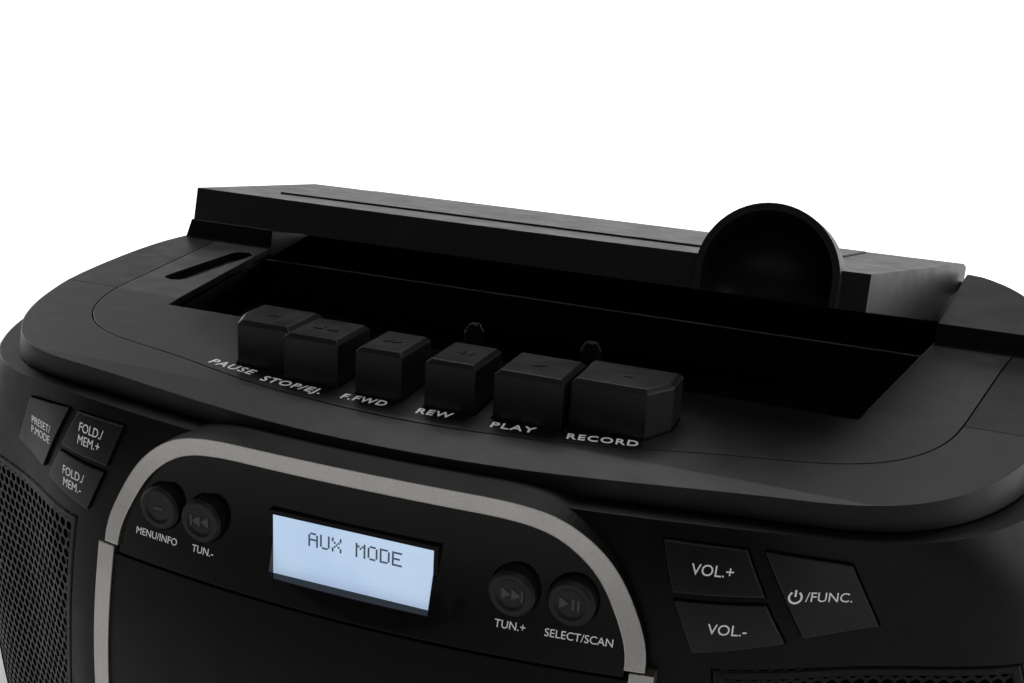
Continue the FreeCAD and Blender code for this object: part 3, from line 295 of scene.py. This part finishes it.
# A near-black matt sheet, used only for painted shade under the lid.
SHADE_BLACK = moulded("painted_shade_black", (0.0015, 0.0015, 0.0016), 0.95, 0.8 * MM, 0.01 * MM, 0.0)
SPINDLE = moulded("spindle_plastic", (0.03, 0.03, 0.031), 0.3, 0.5 * MM, 0.006 * MM, 0.5)
PALE = moulded("pale_plastic", (0.62, 0.61, 0.57), 0.42, 0.6 * MM, 0.008 * MM, 0.5, edge_wear_and_highlight=(0.75, 0.74, 0.7))
GRILLE = moulded("grille_paint", (0.003, 0.003, 0.0032), 0.4, 0.2 * MM, 0.006 * MM, 0.22, 0.1 * MM)
RUBBER = moulded("rubber_black", (0.012, 0.012, 0.012), 0.8, 0.5 * MM, 0.02 * MM, 0.3)
BELT = moulded("belt_rubber", (0.02, 0.019, 0.018), 0.65, 0.3 * MM, 0.01 * MM, 0.35, 0.1 * MM)
SILVER = painted_silver()
LENS = piano_black()
SCREEN = backlit()
BOARD = board_green()
PAPER = paper_cone()
STEEL = metal("brushed_steel", (0.56, 0.56, 0.57), 0.3, (1, 12, 1))
SCREW = metal("screw_steel", (0.12, 0.12, 0.125), 0.4)
CHROME = metal("chrome_metal", (0.75, 0.75, 0.77), 0.09, (1, 1, 0.1), 1e-6)
BRASS = metal("brass_metal", (0.72, 0.5, 0.2), 0.28, (1, 1, 10))
NICKEL = metal("nickel_plate", (0.6, 0.57, 0.52), 0.26)
COPPER = metal("wound_copper", (0.55, 0.22, 0.1), 0.35, (1, 1, 14), 8e-6)
# The white print glows a little: painted light that brightens the labels.
WHITE_INK = ink("white_ink", (0.8, 0.8, 0.79), 0.22)
GREY_INK = ink("grey_ink", (0.10, 0.10, 0.105))
LCD_INK = ink("display_ink", (0.10, 0.16, 0.26))

MATERIALS = {
    CASE: "front_cabinet rear_cabinet cd_door handle battery_door battery_bay handle_pivots",
    TOP: "top_cabinet deck_plate cassette_lid socket_panel",
    KEY: "pause_key stop_key fast_forward_key rewind_key play_key record_key volume_up_key volume_down_key "
    "function_key folder_up_key folder_down_key preset_key",
    RUBBERY: "menu_button tune_down_button tune_up_button select_button",
    INNER: "cassette_well tape_chassis cd_chassis display_module speaker_frames antenna_fork head_carriage",
    PALE: "pinch_arm cd_hub laser_sled",
    SPINDLE: "reel_spindle_supply reel_spindle_takeup",
    RUBBER: "feet",
    SILVER: "arch_trim door_trims",
    LENS: "display_lens ac_inlet",
    BOARD: "circuit_boards",
    PAPER: "speaker_cones",
    STEEL: "capstan_flywheel tape_motor tape_heads",
    NICKEL: "usb_and_aux_sockets battery_contacts",
    SCREW: "rear_screws",
    CHROME: "antenna_tube antenna_rod",
    BRASS: "motor_pulley",
    COPPER: "transformer",
    BELT: "drive_belt pinch_roller",
    GRILLE: "grille_left grille_right",
}
for material, names in MATERIALS.items():
    for name in names.split():
        slots = nodes[name].data.materials
        slots.clear()
        slots.append(material)


# ---------------------------------------------------------------- pieces


def caster(*names):
    """A ray test against these CAD nodes at rest."""
    mesh = bmesh.new()
    for name in names:
        mesh.from_mesh(nodes[name].data)
    tree = BVHTree.FromBMesh(mesh)
    mesh.free()
    return tree


def middle(name):
    low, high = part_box(name)
    return (low + high) / 2


def show(name, mesh, material, body):
    """A mesh as a piece that rides on a body."""
    piece = bpy.data.objects.new(name, mesh)
    bpy.context.scene.collection.objects.link(piece)
    mesh.materials.clear()
    mesh.materials.append(material)
    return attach(piece, body)


CAPITAL_SHARE = 0.7


def solidified(piece, thickness, side):
    """Gives a sheet its thickness, behind it where side is -1 and in front where it is 1."""
    solid = piece.modifiers.new("thickness", "SOLIDIFY")
    solid.thickness, solid.offset = thickness, side


def lettering(words, height, bold=0.0, spacing=1.0):
    """Words as a flat mesh about its own middle, with capitals this high, fattened by bold and spaced out."""
    text = bpy.data.curves.new("letters", "FONT")
    text.body = words
    text.align_x, text.align_y = "CENTER", "CENTER"
    text.size = height / CAPITAL_SHARE
    text.offset = bold
    text.space_line = 0.95
    text.space_character = spacing
    text.extrude = 0.05 * MM
    text.resolution_u = 3
    holder = bpy.data.objects.new("letters", text)
    mesh = bpy.data.meshes.new_from_object(holder)
    bpy.data.objects.remove(holder)
    return mesh


def finished(name, mesh):
    """The bmesh as mesh data, freed."""
    made = bpy.data.meshes.new(name)
    mesh.to_mesh(made)
    mesh.free()
    return made


def plates(outlines, thickness=0.1 * MM):
    """Closed flat outlines as thin plates about z = 0."""
    mesh = bmesh.new()
    for outline in outlines:
        low = [mesh.verts.new((x, y, -thickness / 2)) for x, y in outline]
        high = [mesh.verts.new((x, y, thickness / 2)) for x, y in outline]
        mesh.faces.new(high)
        mesh.faces.new(low[::-1])
        for i, _ in enumerate(outline):
            j = (i + 1) % len(outline)
            mesh.faces.new((low[i], low[j], high[j], high[i]))
    return finished("plates", mesh)


REACH = 30 * MM


def laid(name, mesh, origin, across, up, onto, material, body, lift=0.03 * MM):
    """Drops a flat mesh on a surface along its normal, its x along across and its y along up."""
    across = across.normalized()
    out = across.cross(up).normalized()
    up = out.cross(across)
    for v in mesh.vertices:
        start = origin + across * v.co.x + up * v.co.y
        hit = onto.ray_cast(start + out * REACH, -out)[0] or start
        v.co = hit + out * (v.co.z + lift)
    return show(name, mesh, material, body)


def bar(x, y, wide, high):
    left, right, low, top = x - wide / 2, x + wide / 2, y - high / 2, y + high / 2
    return [(left, low), (right, low), (right, top), (left, top)]


def arrow(x, wide, high):
    """A triangle that points along +x, or along -x where wide is negative."""
    points = [(x - wide / 2, -high / 2), (x + wide / 2, 0), (x - wide / 2, high / 2)]
    return points if wide > 0 else points[::-1]


DISC_STEPS = 20
RING_STEPS = 18


def disc(x, y, radius):
    turns = [math.tau * i / DISC_STEPS for i in range(DISC_STEPS)]
    return [(x + radius * math.cos(t), y + radius * math.sin(t)) for t in turns]


def ring(radius, wide, start, stop):
    """Part of a ring as one outline, its angles in degrees."""
    turns = [math.radians(start + (stop - start) * i / RING_STEPS) for i in range(RING_STEPS + 1)]
    outer = [(radius * math.cos(t), radius * math.sin(t)) for t in turns]
    return outer + [(x * (radius - wide) / radius, y * (radius - wide) / radius) for x, y in outer[::-1]]


# Signs about their own middle, one unit high.
ICONS = {
    "pause": [bar(-0.3, 0, 0.26, 1), bar(0.3, 0, 0.26, 1)],
    "stop_eject": [bar(-0.75, 0, 0.9, 0.9), bar(0.75, -0.38, 1.0, 0.2),
                   [(0.25, -0.15), (1.25, -0.15), (0.75, 0.45)]],
    "forward": [arrow(-0.42, 0.8, 1), arrow(0.42, 0.8, 1)],
    "backward": [arrow(-0.42, -0.8, 1), arrow(0.42, -0.8, 1)],
    "play": [arrow(0, 1.1, 1.1)],
    "record": [disc(0, 0, 0.5)],
    "minus": [bar(0, 0, 0.9, 0.22)],
    "skip_back": [bar(-0.95, 0, 0.18, 1), arrow(-0.45, -0.8, 1), arrow(0.4, -0.8, 1)],
    "skip_on": [arrow(-0.4, 0.8, 1), arrow(0.45, 0.8, 1), bar(0.95, 0, 0.18, 1)],
    "play_pause": [arrow(-0.5, 0.8, 1), bar(0.25, 0, 0.2, 1), bar(0.68, 0, 0.2, 1)],
    "power": [ring(0.5, 0.14, 125, 415), bar(0, 0.3, 0.14, 0.5)],
}


def icon(kind, height, thickness=0.1 * MM):
    """A sign as thin plates, this high."""
    return plates([[(x * height, y * height) for x, y in outline] for outline in ICONS[kind]], thickness)


# The tape keys: a raised sign on each, and its name printed on the deck in front.

CAP = 3.4 * MM
DECK_TOP = 190 * MM
# The words, the middle of their baseline in millimetres, how far they turn in degrees, their length.
DECK_LABELS = [
    ("PAUSE", -61.6, -79.2, -11, 16.5),
    ("STOP/EJ.", -38.6, -84.2, -6, 20.5),
    ("F.FWD", -15.2, -85.2, 0, 13.5),
    ("REW", 6.0, -85.4, 4, 9.9),
    ("PLAY", 28.6, -85.2, 6, 12.0),
    ("RECORD", 52.6, -82.6, 10, 18.5),
]
KEY_SIGNS = {
    "pause_key": "pause",
    "stop_key": "stop_eject",
    "fast_forward_key": "forward",
    "rewind_key": "backward",
    "play_key": "play",
    "record_key": "record",
}
deck = caster("deck_plate", "top_cabinet")
for words, x, y, turn, wide in DECK_LABELS:
    mesh = lettering(words, CAP, bold=0.07 * MM, spacing=1.16)
    reach = max(v.co.x for v in mesh.vertices) - min(v.co.x for v in mesh.vertices)
    mesh.transform(Matrix.Diagonal((wide * MM / reach, 1, 1, 1)))
    spun = Matrix.Rotation(math.radians(turn), 3, "Z")
    name = "label_" + words.strip(".").replace("/", "_").replace(".", "_").lower()
    at = Vector((x * MM, y * MM, DECK_TOP)) + spun @ BACK * CAP / 2
    laid(name, mesh, at, spun @ RIGHT, spun @ BACK, deck, WHITE_INK, "cabinet")
for key, kind in KEY_SIGNS.items():
    sign = icon(kind, 3.2 * MM, 0.5 * MM)
    laid(key.replace("key", "sign"), sign, middle(key), RIGHT, BACK, caster(key), KEY, key)

# The round buttons: a sign on each and its name on the lens below.

NAME_DROP = 8.8 * MM
NAME_HIGH = 1.9 * MM
# For each button: its sign, its name, and how far the name stands to the side in millimetres.
ROUND = {
    "menu_button": ("minus", "MENU/INFO", -1.5),
    "tune_down_button": ("skip_back", "TUN.-", 0.0),
    "tune_up_button": ("skip_on", "TUN.+", 0.0),
    "select_button": ("play_pause", "SELECT/SCAN", 2.5),
}
lens = caster("display_lens")
for key, (kind, words, aside) in ROUND.items():
    at = middle(key)
    sign = icon(kind, 3.0 * MM, 0.3 * MM)
    laid(key.replace("button", "sign"), sign, at, RIGHT, UP, caster(key), GREY_INK, key)
    below = at - UP * NAME_DROP + RIGHT * aside * MM
    name = lettering(words, NAME_HIGH)
    laid(key.replace("button", "label"), name, below, RIGHT, UP, lens, WHITE_INK, "cabinet")

# The names on the six large keys beside the arch, with the height of their capitals in millimetres.

CLUSTER = {
    "volume_up_key": ("VOL.+", 2.5),
    "volume_down_key": ("VOL.-", 2.5),
    "function_key": ("    /FUNC.", 2.3),
    "folder_up_key": ("FOLD./\nMEM.+", 2.4),
    "folder_down_key": ("FOLD./\nMEM.-", 2.4),
    "preset_key": ("PRESET/\nP.MODE", 2.2),
}
for key, (words, height) in CLUSTER.items():
    name = lettering(words, height * MM)
    laid(key.replace("key", "name"), name, middle(key), RIGHT, UP, caster(key), WHITE_INK, key)
power_place = middle("function_key") - RIGHT * 5.6 * MM
laid("power_sign", icon("power", 3.2 * MM), power_place, RIGHT, UP, caster("function_key"), WHITE_INK,
     "function_key")

# The display: a lit screen in front of the module, with a row of dotted characters.

SCREEN_SIZE = (45 * MM, 16.5 * MM)
SCREEN_LOW = 151 * MM
DOT = 0.56 * MM
GLYPHS = {
    "A": ".###. #...# #...# ##### #...# #...# #...#",
    "U": "#...# #...# #...# #...# #...# #...# .###.",
    "X": "#...# #...# .#.#. ..#.. .#.#. #...# #...#",
    "M": "#...# ##.## #.#.# #...# #...# #...# #...#",
    "O": ".###. #...# #...# #...# #...# #...# .###.",
    "D": "####. #...# #...# #...# #...# #...# ####.",
    "E": "##### #.... #.... ####. #.... #.... #####",
}


def dotted(words, dot, gap=0.08):
    """Words in five-by-seven dots, as plates about the middle of the row."""
    outlines = []
    for place, letter in enumerate(words):
        for row, line in enumerate(GLYPHS.get(letter, "").split()):
            for column, mark in enumerate(line):
                if mark == "#":
                    x = (place * 6 + column - len(words) * 3 + 0.5) * dot
                    outlines.append(bar(x, (3 - row) * dot, dot * (1 - gap), dot * (1 - gap)))
    return plates(outlines, 0.02 * MM)


module = caster("display_module")
screen_middle = middle("display_module")
screen_middle.z = SCREEN_LOW + SCREEN_SIZE[1] / 2
laid("display_screen", plates([bar(0, 0, *SCREEN_SIZE)]), screen_middle, RIGHT, UP, module, SCREEN, "cabinet")
words_middle = screen_middle + UP * 3.7 * MM + RIGHT * 1.2 * MM
laid("display_words", dotted("AUX MODE", DOT), words_middle, RIGHT, UP, module, LCD_INK, "cabinet", 0.1 * MM)


# The deck plate as one shell, and thin dark skins of painted shade.


def skin(name, node, wanted, lift, material):
    """A thin skin over the faces of a CAD node of the cabinet that are wanted, lifted off them, that paints
    shade on them.
    """
    source = nodes[node].data
    mesh = bmesh.new()
    for polygon in source.polygons:
        if wanted(polygon):
            corners = [source.vertices[i].co + polygon.normal * lift for i in polygon.vertices]
            mesh.faces.new([mesh.verts.new(corner) for corner in corners])
    bmesh.ops.remove_doubles(mesh, verts=mesh.verts, dist=0.02 * MM)
    show(name, finished(name, mesh), material, "cabinet")


def one_shell(node, levels):
    """The CAD node's mesh without the inner faces where its solids meet, at these places along Y."""
    mesh = bmesh.new()
    mesh.from_mesh(nodes[node].data)
    inner = []
    for face in mesh.faces:
        place = face.calc_center_median().y
        at_joint = any(abs(place - level) < 0.05 * MM for level in levels)
        if at_joint and abs(face.normal.y) > 0.99:
            inner.append(face)
    bmesh.ops.delete(mesh, geom=inner, context="FACES")
    bmesh.ops.remove_doubles(mesh, verts=mesh.verts, dist=0.01 * MM)
    name = node + "_shell"
    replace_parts(show(name, finished(name, mesh), TOP, "cabinet"), node)


# The solids of the deck plate meet where the round ends of the socket slot begin.
SLOT_ENDS = (-5.7 * MM, 35.3 * MM)
one_shell("deck_plate", SLOT_ENDS)

# Painted shade: a matt black skin on the sunken floor behind the tape well, where the lid's shade falls, and
# a dark skin on the outer edge of the arch, where it lies in shade.

FLOOR_LEVEL = 187 * MM
ARCH_MIDDLE = Vector((0, 0, 150 * MM))


def sunken(face):
    """Whether a face belongs to the level floor behind the well."""
    return abs(face.center.z - FLOOR_LEVEL) < 0.3 * MM and face.normal.z > 0.95


def outward(face):
    """Whether a face of the arch looks away from its middle rather than to the front."""
    away = face.center - ARCH_MIDDLE
    away.y = 0
    return face.normal.dot(away.normalized()) > 0.55


# Painted shade: a black skin on the floor that the open lid shades.
skin("well_floor_painted_shade", "rear_cabinet", sunken, 0.12 * MM, SHADE_BLACK)
# Painted shade: the champagne trim's outer side wall covered in dark plastic where it lies in its own shade.
skin("arch_edge_painted_shade", "arch_trim", outward, 0.08 * MM, CASE)

# The rear half of the lid stands a little higher.

lid = caster("cassette_lid")
ABOVE = 400 * MM
PAD_HIGH = 0.6 * MM
PAD_ROWS = 12
PAD_COLUMNS = 60


def lid_pad(near, far, half_near, half_far):
    """A thin plate on top of the lid, between two depths at rest, with its half width at each."""
    mesh = bmesh.new()
    rows = []
    for j in range(PAD_ROWS + 1):
        share = j / PAD_ROWS
        y = near + (far - near) * share
        half = half_near + (half_far - half_near) * share
        row = []
        for i in range(PAD_COLUMNS + 1):
            x = half * (2 * i / PAD_COLUMNS - 1)
            hit, normal, _, _ = lid.ray_cast(Vector((x, y, ABOVE)), -UP)
            on = hit is not None and normal.z > 0.8
            row.append(mesh.verts.new(hit + normal * PAD_HIGH) if on else None)
        rows.append(row)
    for near_row, far_row in zip(rows, rows[1:]):
        for i in range(PAD_COLUMNS):
            corners = (near_row[i], near_row[i + 1], far_row[i + 1], far_row[i])
            if None not in corners:
                mesh.faces.new(corners)
    solidified(show("lid_pad", finished("lid_pad", mesh), TOP, "lid"), PAD_HIGH, -1)


lid_low, lid_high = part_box("cassette_lid")
lid_pad(lid_low.y + 34 * MM, lid_high.y - 14 * MM, 92 * MM, 100 * MM)

# The speaker grilles: a sheet with six-sided holes, bent round the corner of the cabinet, in a thin rim.

# The grille's outline on the right, X and Z in millimetres, clockwise from the upper inner corner.
GRILLE_OUTLINE = [
    (91.0, 149.0), (160.0, 149.5), (165.5, 132.0), (166.5, 90.0), (161.0, 48.0),
    (147.0, 25.0), (110.0, 23.0), (101.0, 48.0), (100.0, 88.0), (95.5, 120.0),
]
HOLE_PITCH = 3.5 * MM
HOLE_RADIUS = 1.45 * MM
HOLE_ROWS = range(60)
HOLE_COLUMNS = range(-12, 45)
HOLE_LOW = 20 * MM
SHEET_THICK = 0.7 * MM
SHEET_EDGE = 1.6 * MM
RIM_WIDTH = 2.2 * MM
RIM_THICK = 0.3 * MM
RIM_STEPS = 12
# Across the rim: how far in from the outline, and how far it stands proud of the sheet.
RIM_SECTION = (
    (0.5 * MM, 0.0),
    (0.9 * MM, 0.28 * MM),
    (RIM_WIDTH, 0.28 * MM),
    (RIM_WIDTH + 0.4 * MM, -0.2 * MM),
)


def inside(x, z, outline):
    """Whether a point lies in a closed outline."""
    within = False
    for i, (ax, az) in enumerate(outline):
        bx, bz = outline[i - 1]
        if (az > z) != (bz > z) and x < (bx - ax) * (z - az) / (bz - az) + ax:
            within = not within
    return within


def inset(outline, gap):
    """A clockwise outline moved inward by a gap."""
    moved = []
    for i in range(len(outline)):
        before, here, after = (Vector(outline[j % len(outline)]) for j in (i - 1, i, i + 1))
        first, second = (here - before).normalized(), (after - here).normalized()
        first, second = Vector((first.y, -first.x)), Vector((second.y, -second.x))
        way = (first + second).normalized()
        moved.append(tuple(here + way * gap / way.dot(first)))
    return moved


class Grille:
    """The place of one grille; way is 1 on the right and -1 on the left, and X is taken as on the right."""

    def __init__(self, side, way):
        self.node = "grille_" + side
        self.way = way
        self.sheet = caster(self.node)
        self.outline = [(x * MM, z * MM) for x, z in GRILLE_OUTLINE]
        self.spots = [x * MM for x in range(101, 167)]
        depths = [self.depth(x, 90 * MM) for x in self.spots]
        self.run = [0.0]
        for i in range(1, len(self.spots)):
            step = math.hypot(self.spots[i] - self.spots[i - 1], depths[i] - depths[i - 1])
            self.run.append(self.run[-1] + step)

    def depth(self, x, z):
        """How far back the front of the sheet lies; past its edge, as far as at the edge."""
        for step in range(12):
            pull = step * 0.5 * MM
            level = z + (pull if z < 90 * MM else -pull)
            hit = self.sheet.ray_cast(Vector((self.way * (x - pull), -0.3, level)), BACK)[0]
            if hit:
                return hit.y
        return None

    def across(self, distance):
        """The place along X that lies this far round the bend from the first spot."""
        run, spots = self.run, self.spots
        if distance <= 0:
            return spots[0] + distance
        for i in range(1, len(run)):
            if run[i] >= distance:
                share = (distance - run[i - 1]) / (run[i] - run[i - 1])
                return spots[i - 1] + share * (spots[i] - spots[i - 1])
        return spots[-1] + (distance - run[-1]) * 0.7

    def facing(self, corners):
        """Corners in the order that makes a face look forward on this side."""
        return corners if self.way > 0 else corners[::-1]

    def perforated(self):
        """The sheet: a ring of six faces round each six-sided hole."""
        mesh = bmesh.new()
        seen = {}

        def corner(distance, z):
            key = (round(distance * 1e6), round(z * 1e6))
            if key not in seen:
                x = self.across(distance)
                y = self.depth(x, z)
                seen[key] = mesh.verts.new((self.way * x, y, z)) if y is not None else None
            return seen[key]

        border = inset(self.outline, SHEET_EDGE)
        turns = [math.radians(30 + 60 * i) for i in range(6)]
        for row in HOLE_ROWS:
            z = HOLE_LOW + row * HOLE_PITCH * math.sqrt(3) / 2
            for column in HOLE_COLUMNS:
                along = (column + 0.5 * (row % 2)) * HOLE_PITCH
                if not inside(self.across(along), z, border):
                    continue
                outer, hole = (
                    [corner(along + radius * math.cos(t), z + radius * math.sin(t)) for t in turns]
                    for radius in (HOLE_PITCH / math.sqrt(3), HOLE_RADIUS)
                )
                if None in outer or None in hole:
                    continue
                for i in range(6):
                    j = (i + 1) % 6
                    mesh.faces.new(self.facing((outer[i], outer[j], hole[j], hole[i])))
        name = self.node + "_sheet"
        piece = show(name, finished(name, mesh), GRILLE, "cabinet")
        solidified(piece, SHEET_THICK, -1)
        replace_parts(piece, self.node)

    def rim(self):
        """The raised rim round the sheet."""
        mesh = bmesh.new()
        loops = []
        for gap, proud in RIM_SECTION:
            corners = inset(self.outline, gap)
            loop = []
            for i, (ax, az) in enumerate(corners):
                bx, bz = corners[(i + 1) % len(corners)]
                for step in range(RIM_STEPS):
                    x = ax + (bx - ax) * step / RIM_STEPS
                    z = az + (bz - az) * step / RIM_STEPS
                    loop.append(mesh.verts.new((self.way * x, self.depth(x, z) - proud, z)))
            loops.append(loop)
        for outer, inner in zip(loops, loops[1:]):
            for i in range(len(outer)):
                j = (i + 1) % len(outer)
                mesh.faces.new(self.facing((outer[i], outer[j], inner[j], inner[i])[::-1]))
        name = self.node + "_rim"
        solidified(show(name, finished(name, mesh), GRILLE, "cabinet"), RIM_THICK, 1)


for side, way in (("left", -1), ("right", 1)):
    made = Grille(side, way)
    made.perforated()
    made.rim()


# ---------------------------------------------------------------- studio


FLOOR_SIZE = 60
FLOOR_THICK = 2 * MM
FLOOR_GAP = 0.2 * MM


def studio_floor():
    """A plain pale floor past the horizon of the view, which glows a little behind the object."""
    mesh = plates([bar(0, 0, FLOOR_SIZE, FLOOR_SIZE)], FLOOR_THICK)
    mesh.transform(Matrix.Translation((0, 0, -FLOOR_THICK / 2 - FLOOR_GAP)))
    made = Finish("studio_floor", (0.82, 0.82, 0.82), 0.75, specular=0.2)
    made.mottled(0.4, 0.05)
    parts = made.add("ShaderNodeSeparateXYZ")
    made.link(made.place, parts.inputs[0])
    made.link(made.between(parts.outputs["Y"], 0.12, 1.1, 0.1, 0.8), made.shader.inputs["Emission Strength"])
    made.shader.inputs["Emission Color"].default_value = (1, 1, 1, 1)
    floor = bpy.data.objects.new("floor", mesh)
    floor.data.materials.append(made.done())
    bpy.context.scene.collection.objects.link(floor)


def studio_world():
    """White low down behind the object, as a lit backdrop is, and dim above it and in front."""
    world = bpy.data.worlds.new("studio")
    world.use_nodes = True
    tree = world.node_tree
    place = tree.nodes.new("ShaderNodeTexCoord")
    parts = tree.nodes.new("ShaderNodeSeparateXYZ")
    tree.links.new(place.outputs["Generated"], parts.inputs[0])
    shares = []
    for axis, dim, lit in (("Z", 0.40, 0.10), ("Y", -0.25, 0.35)):
        ramp = tree.nodes.new("ShaderNodeMapRange")
        ramp.interpolation_type = "SMOOTHSTEP"
        ramp.inputs["From Min"].default_value = dim
        ramp.inputs["From Max"].default_value = lit
        tree.links.new(parts.outputs[axis], ramp.inputs["Value"])
        shares.append(ramp.outputs["Result"])
    both = tree.nodes.new("ShaderNodeMath")
    both.operation = "MULTIPLY"
    tree.links.new(shares[0], both.inputs[0])
    tree.links.new(shares[1], both.inputs[1])
    strength = tree.nodes.new("ShaderNodeMapRange")
    strength.inputs["To Min"].default_value = 0.055
    strength.inputs["To Max"].default_value = 1.1
    tree.links.new(both.outputs[0], strength.inputs["Value"])
    tree.links.new(strength.outputs["Result"], tree.nodes["Background"].inputs["Strength"])
    tree.nodes["Background"].inputs["Color"].default_value = (1, 1, 1, 1)
    bpy.context.scene.world = world


def softbox(name, place, target, size, power):
    """A white rectangular light of this many watts that looks at a target."""
    light = bpy.data.lights.new(name, "AREA")
    light.shape = "RECTANGLE"
    light.size, light.size_y = size
    light.energy = power
    lamp = bpy.data.objects.new(name, light)
    lamp.location = place
    lamp.rotation_euler = (Vector(target) - Vector(place)).to_track_quat("-Z", "Y").to_euler()
    bpy.context.scene.collection.objects.link(lamp)


EYE = (0.12904, -0.36539, 0.30381)
AZIMUTH, ELEVATION, ROLL = (math.radians(angle) for angle in (19.897, 17.002, 3.126))
LENS_LENGTH = 42.81
SENSOR = 36


def camera():
    """The view from the front right, above the keys, level but for a slight roll."""
    level = math.cos(ELEVATION)
    back = Vector((math.sin(AZIMUTH) * level, -math.cos(AZIMUTH) * level, math.sin(ELEVATION)))
    right = UP.cross(back).normalized()
    up = back.cross(right)
    right_rolled = math.cos(ROLL) * right + math.sin(ROLL) * up
    up_rolled = math.cos(ROLL) * up - math.sin(ROLL) * right
    lens_data = bpy.data.cameras.new("camera")
    lens_data.lens, lens_data.sensor_width = LENS_LENGTH, SENSOR
    eye = bpy.data.objects.new("camera", lens_data)
    turned = Matrix((right_rolled, up_rolled, back)).transposed().to_4x4()
    eye.matrix_world = Matrix.Translation(EYE) @ turned
    bpy.context.scene.collection.objects.link(eye)
    bpy.context.scene.camera = eye


studio_floor()
camera()
softbox("top_light", (-0.2, 0.9, 1.5), (0, 0, 0.15), (1.2, 0.8), 9)
softbox("left_light", (-1.3, 0.5, 0.7), (0, 0, 0.18), (0.5, 0.9), 5)
softbox("right_light", (1.3, 0.4, 0.8), (0, 0, 0.15), (0.5, 0.7), 2.5)
softbox("front_light", (0.5, -1.1, 1.9), (0, 0, 0.12), (0.9, 0.4), 2.2)
studio_world()
bpy.context.scene.view_settings.view_transform = "Standard"
